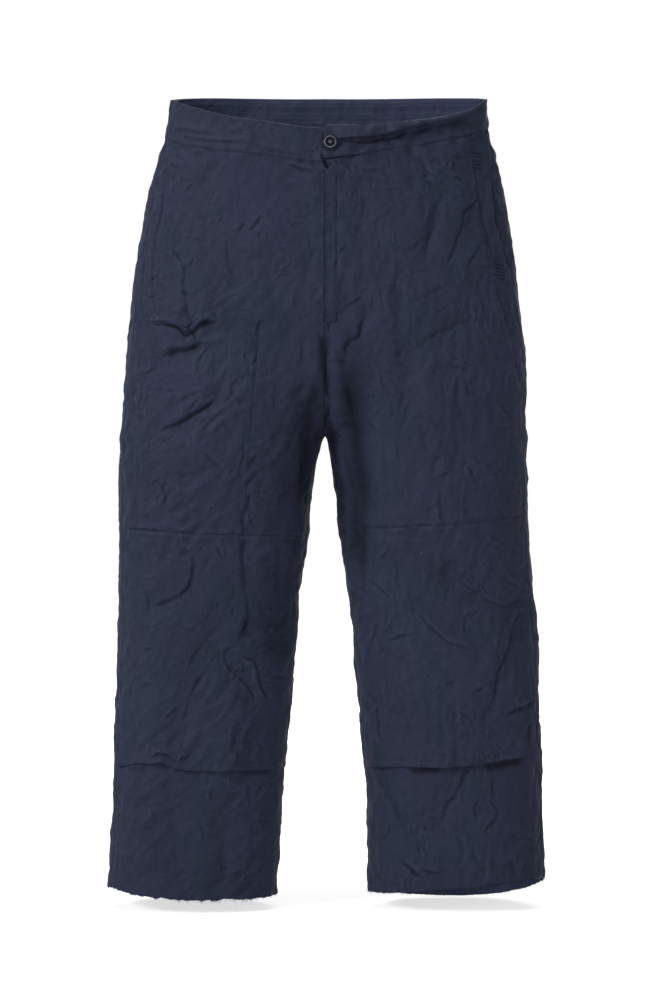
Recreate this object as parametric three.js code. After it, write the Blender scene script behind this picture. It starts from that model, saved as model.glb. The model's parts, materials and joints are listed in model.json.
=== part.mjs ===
// Rain trousers with doubled knees, empty and hollow, standing open as they do on a wearer.
// Millimetres, +Z up. The front faces -Y and the wearer's right side lies at -X.
// The origin is the middle of the waist opening, where the trousers are held.
//
// Each leg is one smooth oval tube. Above the crotch the two tubes run into each other and
// are cut at the centre plane, which makes the centre seams and the curve of the rise. Every
// piece of cloth is a wall on that form, and a piece that lies on a panel repeats the
// panel's own points, moved out.

import * as THREE from "three";

// ---------------------------------------------------------------- driving sizes
const CLOTH = 1.2;              // wall of one layer of shell cloth
const BAND = 2.4;               // wall of the doubled waistband
const SEAM = 0.15;              // half of the gap left where two pieces are sewn together
const LAYER = 0.3;              // gap under a piece that lies on another
const ROUNDNESS = 2.3;          // exponent of the oval sections; 2 is an ellipse
const CROTCH = -371;            // height of the point where the legs part
const CENTRE_HOLD = 15;         // within this of the centre seam folds only go in and out
const PLACKET_WIDTH = 13;       // strip along the fly's edge
const UNDERLAP = 22;            // the right waistband runs on under the left end by this
const OVERLAP = 3;              // the left end passes the centre by this
const END_CORNER = 8;           // radius of the left end's top corner
const END_SEAM = 70;            // the left end is joined to the rest of the band here
const WAIST_QUARTER = 195;      // length of the waist seam from the centre front to the side
const BUTTON_RADIUS = 9;
const BUTTON_HEIGHT = 3.4;
const BUTTON_PLACE = { x: 6.3, z: -38.6 };

const LEGS = {
  right: { name: "right", side: -1 },
  left: { name: "left", side: 1 },
};

// ---------------------------------------------------------------- tables
/** Rows of numbers under named columns. */
function table(columns, ...rows) {
  const names = columns.trim().split(/\s+/);
  return rows.map((row) => Object.fromEntries(names.map((name, i) => [name, row[i]])));
}

// Sections of the two legs. Outer and inner are the reach from the centre plane, and inner
// is below nought where the tube runs past the plane; crest is where the section is deepest;
// front and back are the depths; the side seams lie inside the outermost line by the insets.
const SECTIONS = table(
  "z  rightOuter leftOuter rightInner leftInner crest front back rightInset leftInset",
  [  45,    176,    184,      -176,     -184,      0,   65,   68,     2,      2],
  [  15,    181,    189,      -181,     -189,      0,   68,   71,     2,      2],
  [ -15,    186,    191,      -186,     -191,      0,   71,   75,     3,      3],
  [ -48,    195,    200,      -195,     -200,      0,   76,   82,     6,      6],
  [ -95,    208,    211,      -208,     -211,      2,   83,   92,     9,     10],
  [-142,    216,    219,      -216,     -219,      9,   89,  100,    11,     11],
  [-212,    226,    227,      -222,     -222,     30,   95,  106,    11,      8],
  [-259,    230,    232,      -168,     -168,     53,   97,  106,    10,      6],
  [-306,    234,    235,       -88,      -88,     78,   98,  104,     9,      5],
  [-340,    236,    234,       -40,      -40,     94,   97,  101,     9,      6],
  [-360,    238,    234,       -13,      -13,    102,   96,   99,     9,      6],
  [-371,    239,    235,         0,        0,    106,   95,   98,     9,      7],
  [-383,    239,    235,         5,        4,    110,   95,   96,     9,      7],
  [-412,    240,    236,        11,        8,    117,   93,   92,     8,      8],
  [-446,    240,    237,        16,       13,    123,   90,   88,     8,      8],
  [-493,    240,    239,        21,       18,    128,   87,   83,     8,      8],
  [-540,    241,    242,        28,       25,    133,   84,   79,     8,      8],
  [-586,    241,    247,        33,       31,    138,   81,   76,     8,      8],
  [-633,    243,    250,        36,       35,    142,   78,   74,     7,      6],
  [-680,    245,    250,        40,       40,    145,   76,   73,     6,      5],
  [-727,    247,    252,        44,       43,    148,   73,   72,     6,      5],
  [-774,    247,    253,        48,       48,    150,   71,   71,     6,      5],
  [-820,    249,    254,        51,       49,    151,   69,   71,     6,      5],
  [-867,    252,    257,        54,       50,    153,   68,   70,     6,      5],
  [-900,    255,    256,        56,       51,    155,   67,   70,     6,      5],
  [-930,    256,    256,        57,       52,    155,   66,   70,     6,      5],
);

// Heights of the seams and edges on each leg, going round from the centre front or the
// inseam, at 0, past the side seam, at 1, to the centre back or the inseam again, at 2.
const EDGES = {
  right: table(
    "round  top  waist pocket crotch knee  flap  hem",
    [0.00,  -22,  -60, -244, CROTCH, -488, -757, -906],
    [0.25,  -16,  -54, -244, CROTCH, -487, -756, -905],
    [0.50,   -7,  -46, -244, CROTCH, -485, -756, -904],
    [0.75,    8,  -37, -243, CROTCH, -481, -748, -900],
    [1.00,   21,  -25, -241, CROTCH, -479, -754, -895],
    [1.50,   30,  -12, -241, CROTCH, -484, -755, -913],
    [2.00,   32,   -8, -241, CROTCH, -488, -757, -906],
  ),
  left: table(
    "round  top  waist pocket crotch knee  flap  hem",
    [0.00,  -18,  -56, -244, CROTCH, -478, -755, -902],
    [0.25,  -18,  -49, -244, CROTCH, -478, -752, -897],
    [0.50,  -11,  -38, -244, CROTCH, -474, -751, -891],
    [0.75,    2,  -26, -243, CROTCH, -469, -746, -885],
    [1.00,   22,  -15, -241, CROTCH, -464, -742, -884],
    [1.50,   30,  -10, -241, CROTCH, -471, -748, -918],
    [2.00,   32,   -8, -241, CROTCH, -478, -755, -902],
  ),
};

// Distance from the centre plane of the line that the thigh pocket's inner edge follows.
const POCKET_LINE = table(
  "z      x",
  [  45,  66],
  [ -60,  69],
  [-244,  75],
  [-371,  84],
  [-490,  94],
  [-760, 118],
  [-930, 128],
);

// How far round the front the two lines lie, and how many columns each stretch has.
const ROUND_OF_PLACKET = 0.06;
const ROUND_OF_POCKET = 0.36;
const FRONT_COLUMNS = columns([0, ROUND_OF_PLACKET, ROUND_OF_POCKET, 1], [2, 4, 8]);
const BACK_COLUMNS = columns([1, 2], [12]);
const POCKET_START = 6;

// The stretches between the edges, each with the shares of its height where a row lies.
const STRETCHES = [
  { from: "waist", to: "pocket", shares: [0, 1 / 6, 2 / 6, 3 / 6, 4 / 6, 5 / 6] },
  { from: "pocket", to: "crotch", shares: [0, 0.3, 0.55, 0.75, 0.88, 0.96] },
  { from: "crotch", to: "knee", shares: [0, 0.1, 0.3, 0.62] },
  { from: "knee", to: "flap", shares: [0, 1 / 7, 2 / 7, 3 / 7, 4 / 7, 5 / 7, 6 / 7] },
  { from: "flap", to: "hem", shares: [0, 0.25, 0.5, 0.75, 1] },
];
const BAND_SHARES = [0, 0.3, 0.5, 0.72, 1];

// The largest folds, seen from the front: a line from one place to the other, its
// half-width, and its depth, below nought for a ridge.
const FRONT_FOLDS = table(
  "x0    z0    x1    z1  width depth",
  [   0, -268,    0, -372,   9,    7],
  [  24, -312,   31, -440,  15,    8],
  [ -24, -322,  -22, -440,  15,    6],
  [ 134,  -97,  112, -175,  15,    4],
  [ 176, -101,  142, -179,  13,    3],
  [ 183, -166,  225, -319,  13,   -3],
  [  42,  -85,   40, -159,  15,    3],
  [  49, -201,   11, -239,  13,    3],
  [  48, -234,   24, -286,  13,    5],
  [  93, -258,   91, -345,  17,    4],
  [ 160, -240,   90, -283,  14,    3],
  [-187, -282, -140, -269,  14,    4],
  [-188, -368, -122, -329,  14,    4],
  [-174, -150, -157, -249,  14,    3],
  [ -38, -431,  -55, -475,  14,    3],
  [-196, -567, -154, -547,  14,    4],
  [ -93, -485,  -94, -605,  16,    3],
  [-114, -625,  -81, -671,  14,    4],
  [-122, -591, -170, -711,  15,    4],
  [ 104, -571,  175, -616,  14,    4],
  [ 179, -555,  211, -568,  14,    3],
  [ 225, -574,  191, -686,  14,    3],
  [  36, -488,   39, -558,  15,    5],
  [  66, -778,   99, -842,  15,    4],
  [ 160, -755,  133, -816,  15,    4],
  [-174, -790, -168, -867,  17,    4],
  [-116, -806, -120, -876,  17,    4],
);

// The same for the back: the seat, under the seat, behind the knees and the calves.
const BACK_FOLDS = table(
  "x0    z0    x1    z1  width depth",
  [   0, -150,    0, -350,  14,    4],
  [  58, -215,  118, -318,  18,    4],
  [ -52, -232, -112, -322,  18,    4],
  [  38, -388,  128, -366,  14,    4],
  [ -44, -396, -142, -378,  14,    4],
  [  62, -430,  128, -418,  14,    3],
  [-180, -512,  -96, -540,  16,    5],
  [ 186, -498,  104, -530,  16,    5],
  [ -70, -572, -164, -592,  15,    4],
  [  74, -566,  158, -600,  15,    4],
  [ 150, -690,  120, -792,  18,    4],
  [-158, -702, -128, -800,  18,    4],
  [ 196, -790,  188, -868,  17,    3],
  [ -92, -812,  -98, -884,  17,    3],
);

/** Places round the leg, with a number of equal steps between each pair of stops. */
function columns(stops, steps) {
  const places = [stops[0]];
  steps.forEach((count, i) => {
    for (let k = 1; k <= count; k += 1) {
      places.push(THREE.MathUtils.lerp(stops[i], stops[i + 1], k / count));
    }
  });
  return places;
}

/** A value of a table's column at a place on its first column, on a smooth curve. */
function lookUp(rows, name, at) {
  const key = Object.keys(rows[0])[0];
  const rising = rows[1][key] > rows[0][key] ? 1 : -1;
  let i = rows.findIndex((row) => (row[key] - at) * rising > 0) - 1;
  i = THREE.MathUtils.clamp(i === -2 ? rows.length - 2 : i, 0, rows.length - 2);
  const slope = (k) => {
    const before = rows[Math.max(k - 1, 0)];
    const after = rows[Math.min(k + 1, rows.length - 1)];
    return (after[name] - before[name]) / (after[key] - before[key]);
  };
  const span = rows[i + 1][key] - rows[i][key];
  const t = THREE.MathUtils.clamp((at - rows[i][key]) / span, 0, 1);
  const rise = rows[i + 1][name] - rows[i][name];
  const start = slope(i) * span - rise;
  const end = rise - slope(i + 1) * span;
  return rows[i][name] + rise * t + t * (1 - t) * (start * (1 - t) + end * t);
}

// ---------------------------------------------------------------- the form of the legs
const power = (value, exponent) => Math.sign(value) * Math.abs(value) ** exponent;

/** The oval of one leg at a height, whose two halves meet at its crest. */
function section(leg, z) {
  const at = (name) => lookUp(SECTIONS, name, z);
  const outer = at(`${leg.name}Outer`);
  const inner = at(`${leg.name}Inner`);
  const crest = at("crest");
  return {
    outer,
    inner,
    crest,
    toOuter: outer - crest,
    toInner: crest - inner,
    middle: (at("back") - at("front")) / 2,
    depth: (at("back") + at("front")) / 2,
    inset: at(`${leg.name}Inset`),
  };
}

/** A point of the oval: turn is 0 at the outermost side, above it in front, below it behind. */
function formPoint(leg, turn, z) {
  const { crest, toOuter, toInner, middle, depth } = section(leg, z);
  const across = power(Math.cos(turn), 2 / ROUNDNESS);
  const x = crest + across * (across > 0 ? toOuter : toInner);
  const y = middle - depth * power(Math.sin(turn), 2 / ROUNDNESS);
  return new THREE.Vector3(leg.side * x, y, z);
}

/** The turn of the front point at a distance from the centre plane. */
function turnAt(leg, x, z) {
  const { crest, toOuter, toInner } = section(leg, z);
  const across = (x - crest) / (x > crest ? toOuter : toInner);
  return Math.acos(power(THREE.MathUtils.clamp(across, -1, 1), ROUNDNESS / 2));
}

/** The turn at a place round the leg, clear of the seams by half of their gap. */
function turnOf(leg, round, z, back = false) {
  const { outer, inner, inset } = section(leg, z);
  const start = turnAt(leg, SEAM, z);
  const side = turnAt(leg, outer - inset, z);
  const clear = (turn) => SEAM / speed(leg, turn, z);
  if (back) {
    const first = side - clear(side);
    const last = -start + clear(-start);
    return THREE.MathUtils.lerp(first, last, round - 1);
  }
  const inseam = Math.max(inner, 0);
  const stops = [
    { round: 0, turn: start - clear(start) },
    { round: ROUND_OF_PLACKET, turn: turnAt(leg, inseam + PLACKET_WIDTH, z) },
    { round: ROUND_OF_POCKET, turn: turnAt(leg, lookUp(POCKET_LINE, "x", z), z) },
    { round: 1, turn: side + clear(side) },
  ];
  const i = stops.findIndex((stop, k) => k > 0 && round <= stop.round);
  const [a, b] = [stops[i - 1], stops[i]];
  return THREE.MathUtils.mapLinear(round, a.round, b.round, a.turn, b.turn);
}

/** How fast the oval's point moves with its turn, mm for each radian. */
function speed(leg, turn, z, step = 0.02) {
  return formPoint(leg, turn + step, z).distanceTo(formPoint(leg, turn - step, z)) / (2 * step);
}

/** The outward direction of the form. */
function outward(leg, turn, z, step = 0.02, rise = 2) {
  const along = formPoint(leg, turn + step, z).sub(formPoint(leg, turn - step, z));
  const up = formPoint(leg, turn, z + rise).sub(formPoint(leg, turn, z - rise));
  const normal = along.cross(up).normalize();
  const { crest, middle } = section(leg, z);
  const from = formPoint(leg, turn, z).sub(new THREE.Vector3(leg.side * crest, middle, z));
  return normal.dot(from) < 0 ? normal.negate() : normal;
}

/** Depth of the folds at a point: each is a soft trough, deepest on its line. */
function foldDepth(folds, x, z) {
  const here = new THREE.Vector3(x, 0, z);
  const near = new THREE.Vector3();
  return folds.reduce((sum, fold) => {
    const line = new THREE.Line3(
      new THREE.Vector3(fold.x0, 0, fold.z0),
      new THREE.Vector3(fold.x1, 0, fold.z1),
    );
    line.closestPointToPoint(here, true, near);
    return sum + fold.depth * Math.exp(-((here.distanceTo(near) / fold.width) ** 2));
  }, 0);
}

/** A point of the cloth with its folds, moved out by a lift, and its outward direction. */
function clothPoint(leg, turn, z, lift = 0) {
  const normal = outward(leg, turn, z);
  const point = formPoint(leg, turn, z);
  const folds = normal.y < 0 ? FRONT_FOLDS : BACK_FOLDS;
  const facing = THREE.MathUtils.smoothstep(Math.abs(normal.y), 0, 0.5);
  const move = normal.clone().multiplyScalar(lift - facing * foldDepth(folds, point.x, z));
  // Beside the centre seam the cloth moves in and out only, so that the seam stays closed.
  move.x *= THREE.MathUtils.smoothstep(Math.abs(point.x), 0, CENTRE_HOLD);
  point.add(move);
  return { point, normal };
}

// ---------------------------------------------------------------- walls of cloth
/** A closed wall between a grid of outer points and the same grid moved in. */
function wall(grid, thickness) {
  const rows = grid.length;
  const across = grid[0].length;
  const vertices = grid.flat().map(({ point }) => point.clone());
  grid.flat().forEach(({ point, normal }) => {
    vertices.push(point.clone().addScaledVector(normal, -thickness));
  });
  const outside = (r, c) => r * across + c;
  const inside = (r, c) => rows * across + outside(r, c);
  const triangles = [];
  const quad = (a, b, c, d) => triangles.push([a, b, c], [a, c, d]);
  for (let r = 0; r + 1 < rows; r += 1) {
    for (let c = 0; c + 1 < across; c += 1) {
      quad(outside(r, c), outside(r + 1, c), outside(r + 1, c + 1), outside(r, c + 1));
      quad(inside(r, c), inside(r, c + 1), inside(r + 1, c + 1), inside(r + 1, c));
    }
    quad(inside(r, 0), inside(r + 1, 0), outside(r + 1, 0), outside(r, 0));
    const end = across - 1;
    quad(outside(r, end), outside(r + 1, end), inside(r + 1, end), inside(r, end));
  }
  for (let c = 0; c + 1 < across; c += 1) {
    const end = rows - 1;
    quad(outside(0, c), outside(0, c + 1), inside(0, c + 1), inside(0, c));
    quad(inside(end, c), inside(end, c + 1), outside(end, c + 1), outside(end, c));
  }
  return closedGeometry(vertices, triangles);
}

/** A geometry with its faces turned outwards. */
function closedGeometry(vertices, triangles) {
  const volume = triangles.reduce((sum, [a, b, c]) => {
    const edge = new THREE.Vector3().crossVectors(vertices[b], vertices[c]);
    return sum + vertices[a].dot(edge);
  }, 0);
  const index = triangles.flatMap(([a, b, c]) => (volume < 0 ? [a, c, b] : [a, b, c]));
  const geometry = new THREE.BufferGeometry().setFromPoints(vertices);
  geometry.setIndex(index);
  geometry.computeVertexNormals();
  return geometry;
}

/** Heights of a leg's rows between two of its edges, at one place round it. */
function rowHeights(leg, round, from, to) {
  const heights = [];
  const edge = (name) => lookUp(EDGES[leg.name], name, round);
  const first = STRETCHES.findIndex((stretch) => stretch.from === from);
  const last = STRETCHES.findIndex((stretch) => stretch.to === to);
  STRETCHES.slice(first, last + 1).forEach((stretch) => {
    stretch.shares.forEach((share) => {
      heights.push(THREE.MathUtils.lerp(edge(stretch.from), edge(stretch.to), share));
    });
  });
  if (to !== "hem") heights.push(edge(to));
  heights[0] -= SEAM;
  if (to !== "hem") heights[heights.length - 1] += SEAM;
  return heights;
}

/** A grid of cloth between two edges, with a row for each height and the places given. */
function panelGrid(leg, places, from, to, { back = false, lift = () => 0, place = (p) => p } = {}) {
  const byColumn = places.map((round) => {
    const heights = rowHeights(leg, round, from, to);
    return heights.map((z, row) => {
      const down = row / (heights.length - 1);
      const turn = turnOf(leg, place(round, down), z, back);
      return clothPoint(leg, turn, z, lift(round, down));
    });
  });
  return byColumn[0].map((_, row) => byColumn.map((column) => column[row]));
}

// ---------------------------------------------------------------- finishes
const finish = (color, roughness, metalness = 0) => ({ color, roughness, metalness });
const SHELL = finish(0x2f3546, 0.72);
const BAND_CLOTH = finish(0x2d3343, 0.74);
const DARK_METAL = finish(0x15171c, 0.3, 0.6);

const trousers = new THREE.Group();

function add(name, geometry, look) {
  const mesh = new THREE.Mesh(geometry, new THREE.MeshStandardMaterial(look));
  mesh.name = name;
  trousers.add(mesh);
  return mesh;
}

// ---------------------------------------------------------------- fronts and backs
function addPanels(leg) {
  const front = panelGrid(leg, FRONT_COLUMNS, "waist", "hem");
  add(`front_${leg.name}`, wall(front, CLOTH), SHELL);
  const back = panelGrid(leg, BACK_COLUMNS, "waist", "hem", { back: true });
  add(`back_${leg.name}`, wall(back, CLOTH), SHELL);
}

// ---------------------------------------------------------------- knee panels
// The second layer over each knee is sewn in at its top and sides; its lower hem hangs free
// and stands away from the leg, and its outer corner draws in from the side seam.
const KNEE_PANELS = {
  right: { stand: 4, drawIn: 0.05, waves: 3 },
  left: { stand: 6, drawIn: 0.09, waves: 2.5 },
};
const FREE_FROM = 0.7;          // share of the height below which the outer edge is free

function addKneePanel(leg) {
  const { stand, drawIn, waves } = KNEE_PANELS[leg.name];
  const loose = (down) => THREE.MathUtils.smoothstep(down, FREE_FROM, 1);
  const lift = (round, down) => {
    const wave = 0.65 + 0.35 * Math.cos(waves * 2 * Math.PI * round);
    return LAYER + CLOTH + stand * wave * down ** 3;
  };
  const place = (round, down) => round * (1 - drawIn * loose(down));
  const grid = panelGrid(leg, FRONT_COLUMNS, "knee", "flap", { lift, place });
  add(`knee_panel_${leg.name}`, wall(grid, CLOTH), SHELL);
}

// ---------------------------------------------------------------- thigh pocket
const MOUTH_STAND = 2;          // the mouth stands away from the thigh by this

function addThighPocket(leg) {
  const lift = (round, down) => {
    const middle = Math.sin(Math.PI * THREE.MathUtils.mapLinear(round, ROUND_OF_POCKET, 1, 0, 1));
    return LAYER + CLOTH + MOUTH_STAND * middle * Math.max(1 - 3 * down, 0);
  };
  const places = FRONT_COLUMNS.slice(POCKET_START);
  const grid = panelGrid(leg, places, "pocket", "knee", { lift });
  add(`thigh_pocket_${leg.name}`, wall(grid, CLOTH), SHELL);
}

// ---------------------------------------------------------------- fly
function addFlyPlacket(leg) {
  const places = FRONT_COLUMNS.filter((round) => round <= ROUND_OF_PLACKET);
  const grid = panelGrid(leg, places, "waist", "pocket", { lift: () => LAYER + CLOTH });
  add("fly_placket", wall(grid, CLOTH), SHELL);
}

// ---------------------------------------------------------------- waistband
const BAND_LIFT = (BAND - CLOTH) / 2;
const OVER_LIFT = BAND_LIFT + BAND + LAYER;     // the left end lies over the right band

// The left band's top edge rolls outwards over a hollow: how far the cloth stands out at
// each of the band's rows, from its seam to its top.
const ROLL = [0, -1, -2.5, 4, 3];
const ROLL_PLACES = table(
  "round strength",
  [-0.05, 0.0],
  [0.05, 0.0],
  [0.08, 0.3],
  [0.14, 0.9],
  [0.25, 1.0],
  [0.45, 1.0],
  [0.75, 0.6],
  [1.00, 0.0],
);

/** One column of a waistband, from its seam to its top, where turnFor puts each height. */
function bandColumn(leg, round, turnFor, { lift = () => BAND_LIFT, cut = 0, edges = leg } = {}) {
  const heights = EDGES[edges.name];
  const seam = lookUp(heights, "waist", round) + SEAM;
  const top = lookUp(heights, "top", round) - cut;
  return BAND_SHARES.map((share, row) => {
    const z = THREE.MathUtils.lerp(seam, top, share);
    const turn = turnFor(z);
    const normal = outward(leg, turn, z);
    const point = formPoint(leg, turn, z).addScaledVector(normal, lift(row));
    return { point, normal };
  });
}

/** Turns columns of points into rows of points. */
const asRows = (byColumn) => byColumn[0].map((_, row) => byColumn.map((column) => column[row]));

/** A column at a distance from the centre plane, with the edges of the leg it lies on. */
function centreBandColumn(leg, x, options = {}) {
  const round = Math.abs(x) / WAIST_QUARTER;
  return bandColumn(leg, round, (z) => turnAt(leg, x, z), options);
}

/** How far each row stands out; where the end lies over the right band nothing sinks in. */
function rolledLift(round, sink = 1) {
  const strength = lookUp(ROLL_PLACES, "strength", round);
  return (row) => BAND_LIFT + strength * ROLL[row] * (ROLL[row] < 0 ? sink : 1);
}

function addWaistbandRight() {
  const leg = LEGS.right;
  const under = [-UNDERLAP, -UNDERLAP / 2, SEAM / 3].map((x) => centreBandColumn(leg, x, {
    edges: LEGS.left,
  }));
  const front = FRONT_COLUMNS.map((round) => bandColumn(leg, round, (z) => turnOf(leg, round, z)));
  add("waistband_right", wall(asRows([...under, ...front]), BAND), BAND_CLOTH);
}

/** A column of the left band at a place round the leg; its join to the end lies aside by a gap. */
function leftBandColumn(round, aside = 0, lift = rolledLift(round)) {
  const leg = LEGS.left;
  const turnFor = (z) => {
    const turn = turnOf(leg, round, z);
    return turn + aside / speed(leg, turn, z);
  };
  return bandColumn(leg, round, turnFor, { lift });
}

function addWaistbandLeft() {
  const places = FRONT_COLUMNS.slice(POCKET_START + 1);
  const join = leftBandColumn(ROUND_OF_POCKET, -SEAM);
  const byColumn = [join, ...places.map((round) => leftBandColumn(round))];
  add("waistband_left", wall(asRows(byColumn), BAND), BAND_CLOTH);
}

function addWaistbandEnd() {
  const liftAt = (x) => {
    const eased = THREE.MathUtils.smoothstep(x, UNDERLAP + 2, END_SEAM - 10);
    const over = THREE.MathUtils.lerp(OVER_LIFT - BAND_LIFT, 0, eased);
    const roll = rolledLift(Math.max(x, 0) / WAIST_QUARTER, eased);
    return (row) => roll(row) + over;
  };
  const tip = [-OVERLAP, -OVERLAP / 2, 0, END_CORNER / 3].map((x) => {
    const near = Math.max(END_CORNER - (x + OVERLAP), 0);
    const cut = END_CORNER - Math.sqrt(END_CORNER ** 2 - near ** 2);
    return centreBandColumn(LEGS.left, x, { lift: liftAt(x), cut });
  });
  const places = FRONT_COLUMNS.slice(1, POCKET_START + 1);
  const rest = places.map((round) => {
    const aside = round === ROUND_OF_POCKET ? SEAM : 0;
    return leftBandColumn(round, aside, liftAt(round * WAIST_QUARTER));
  });
  add("waistband_left_end", wall(asRows([...tip, ...rest]), BAND), BAND_CLOTH);
}

function addWaistbandBack() {
  const half = (leg) => BACK_COLUMNS.map((round) => bandColumn(
    leg,
    round,
    (z) => (round === 2 ? -turnAt(leg, 0, z) : turnOf(leg, round, z, true)),
  ));
  const right = half(LEGS.right);
  const left = half(LEGS.left).reverse().slice(1);
  add("waistband_back", wall(asRows([...right, ...left]), BAND), BAND_CLOTH);
}

// ---------------------------------------------------------------- button
// A tack button: a raised rim round a sunk middle with a small rivet head.
function addButton() {
  const rim = BUTTON_RADIUS;
  const high = BUTTON_HEIGHT;
  const profile = [
    [0, 0],
    [rim - 1.2, 0],
    [rim - 0.2, 0.8],
    [rim, 1.8],
    [rim - 0.5, 2.9],
    [rim - 1.6, high],
    [rim - 2.8, 3.1],
    [rim - 3.7, 2.2],
    [rim - 4.4, 1.7],
    [2.6, 1.6],
    [2.0, 2.4],
    [1.0, 2.8],
    [0, 2.9],
  ].map(([radius, height]) => new THREE.Vector2(radius, height));
  const geometry = new THREE.LatheGeometry(profile, 24);
  const button = add("button", geometry, DARK_METAL);
  const leg = LEGS.left;
  const turn = turnAt(leg, BUTTON_PLACE.x, BUTTON_PLACE.z);
  const seat = formPoint(leg, turn, BUTTON_PLACE.z);
  const normal = outward(leg, turn, BUTTON_PLACE.z);
  button.quaternion.setFromUnitVectors(new THREE.Vector3(0, 1, 0), normal);
  button.position.copy(seat).addScaledVector(normal, OVER_LIFT + LAYER);
}

// ---------------------------------------------------------------- assembly
Object.values(LEGS).forEach(addPanels);
Object.values(LEGS).forEach(addKneePanel);
addThighPocket(LEGS.right);
addFlyPlacket(LEGS.left);
addWaistbandRight();
addWaistbandLeft();
addWaistbandEnd();
addWaistbandBack();
addButton();

export default trousers;
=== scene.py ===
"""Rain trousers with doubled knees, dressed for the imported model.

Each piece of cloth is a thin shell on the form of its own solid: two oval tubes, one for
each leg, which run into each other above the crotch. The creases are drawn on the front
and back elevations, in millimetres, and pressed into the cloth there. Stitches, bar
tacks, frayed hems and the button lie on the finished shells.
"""

import json
import logging
from collections.abc import Iterable, Sequence
from dataclasses import dataclass, field
from enum import Enum
from math import pi, radians

import bpy
import numpy as np
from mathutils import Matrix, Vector

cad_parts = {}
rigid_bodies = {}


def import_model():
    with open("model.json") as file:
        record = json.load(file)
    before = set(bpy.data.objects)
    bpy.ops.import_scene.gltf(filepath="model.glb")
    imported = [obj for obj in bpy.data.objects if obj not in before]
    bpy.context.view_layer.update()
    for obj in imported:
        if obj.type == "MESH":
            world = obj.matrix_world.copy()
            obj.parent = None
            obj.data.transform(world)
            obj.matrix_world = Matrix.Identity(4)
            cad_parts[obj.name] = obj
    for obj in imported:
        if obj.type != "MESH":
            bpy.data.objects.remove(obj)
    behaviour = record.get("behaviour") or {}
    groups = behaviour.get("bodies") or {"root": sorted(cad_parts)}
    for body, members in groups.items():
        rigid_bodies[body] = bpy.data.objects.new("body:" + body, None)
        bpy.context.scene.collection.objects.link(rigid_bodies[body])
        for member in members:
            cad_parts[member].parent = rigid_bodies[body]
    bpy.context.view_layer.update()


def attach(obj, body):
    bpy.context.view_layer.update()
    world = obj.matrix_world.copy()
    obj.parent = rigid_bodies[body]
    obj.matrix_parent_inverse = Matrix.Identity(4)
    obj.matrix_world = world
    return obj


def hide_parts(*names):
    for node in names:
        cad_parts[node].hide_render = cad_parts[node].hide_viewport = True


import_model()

logging.basicConfig(level=logging.INFO, format="%(name)s: %(message)s")
log = logging.getLogger("trousers")

Array = np.ndarray
Path = Sequence[tuple[float, float]]
MM = 0.001

# ---------------------------------------------------------------- sizes, in millimetres
SHELL_WALL = 0.8
COARSE = 6
BAND_WALL = 2.4
SEAM = 0.15
CLOSED = 0.01
LAID = 0.5
LAID_WALL = 0.4
ROUNDNESS = 2.3
CENTRE_HOLD = 15.0
PLACKET_WIDTH = 13.0
UNDERLAP = 22.0
OVERLAP = 3.0
END_CORNER = 8.0
END_SEAM = 70.0
BAND_LIFT = 0.6
OVER_LIFT = 3.3
WAIST_QUARTER = 195
BAND_GAP = 0.06

# Places round a leg: nought at the centre front, one at the side and two at the centre back.
ROUND_OF_PLACKET = 0.06
ROUND_OF_POCKET = 0.36
FRONT_STOPS = (0.0, ROUND_OF_PLACKET, ROUND_OF_POCKET, 1.0)
CENTRE_SPAN = PLACKET_WIDTH / ROUND_OF_PLACKET

# How far the front stands before the middle, and the way along a crease that has its lit
# side on its left.
FRONT_DEPTH = 85
LIGHT_WAY = (0.75, 0.65)

# How much lighter the cloth's reverse is, partly painted light on its shaded insides, and how
# much painted shade darkens a full mark.
REVERSE_TONE = 1.4
BAND_REVERSE_TONE = 0.7
PAINTED_SHADE_TONE = -0.77


# ---------------------------------------------------------------- sums that everything uses
def smoothstep(value: Array, low: float, high: float) -> Array:
    """Ease from nought at low to one at high, by 3t² − 2t³."""
    t = np.clip((np.asarray(value, float) - low) / (high - low), 0, 1)
    return t * t * (3 - 2 * t)


def power(value: Array, exponent: float) -> Array:
    """Raise the size of a value to a power and keep its sign."""
    return np.sign(value) * np.abs(value) ** exponent


def hill(value: Array, centre: float, width: float) -> Array:
    """A bell that is one at its centre and falls to 1/e at one width from it."""
    return np.exp(-(((np.asarray(value, float) - centre) / width) ** 2))


def unit(vectors: Array) -> Array:
    """Scale vectors along the last axis to a length of one."""
    return vectors / np.maximum(np.linalg.norm(vectors, axis=-1, keepdims=True), 1e-9)


def arc(points: Array, axis: int) -> Array:
    """Length along a grid's lines from their first point.

    Args:
        points: A grid of points, with the coordinates on the last axis.
        axis: The grid axis that the lines run along.

    Returns:
        The running sum of the distances between neighbours, nought at the start.
    """
    steps = np.linalg.norm(np.diff(points, axis=axis), axis=-1)
    start = np.zeros_like(np.take(steps, [0], axis=axis))
    return np.concatenate([start, np.cumsum(steps, axis=axis)], axis=axis)


def spline(controls: Array, steps: int) -> Array:
    """A smooth curve through control points, by the Catmull–Rom formula.

    Between two controls the point is ½(2b + (c−a)t + (2a−5b+4c−d)t² + (3b−a−3c+d)t³), where
    a to d are the four nearest controls and the end ones are repeated.

    Args:
        controls: Controls on the first axis.
        steps: Steps between each pair of controls.

    Returns:
        The points of the curve on the first axis.
    """
    a = np.concatenate([controls[:1], controls[:-2]])
    b, c = controls[:-1], controls[1:]
    d = np.concatenate([controls[2:], controls[-1:]])
    t = (np.arange(steps) / steps).reshape(1, -1, *([1] * (controls.ndim - 1)))
    a, b, c, d = (part[:, None] for part in (a, b, c, d))
    curve = 0.5 * (2 * b + (c - a) * t + (2 * a - 5 * b + 4 * c - d) * t**2
                   + (3 * b - a - 3 * c + d) * t**3)
    return np.concatenate([curve.reshape(-1, *controls.shape[1:]), controls[-1:]])


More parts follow.
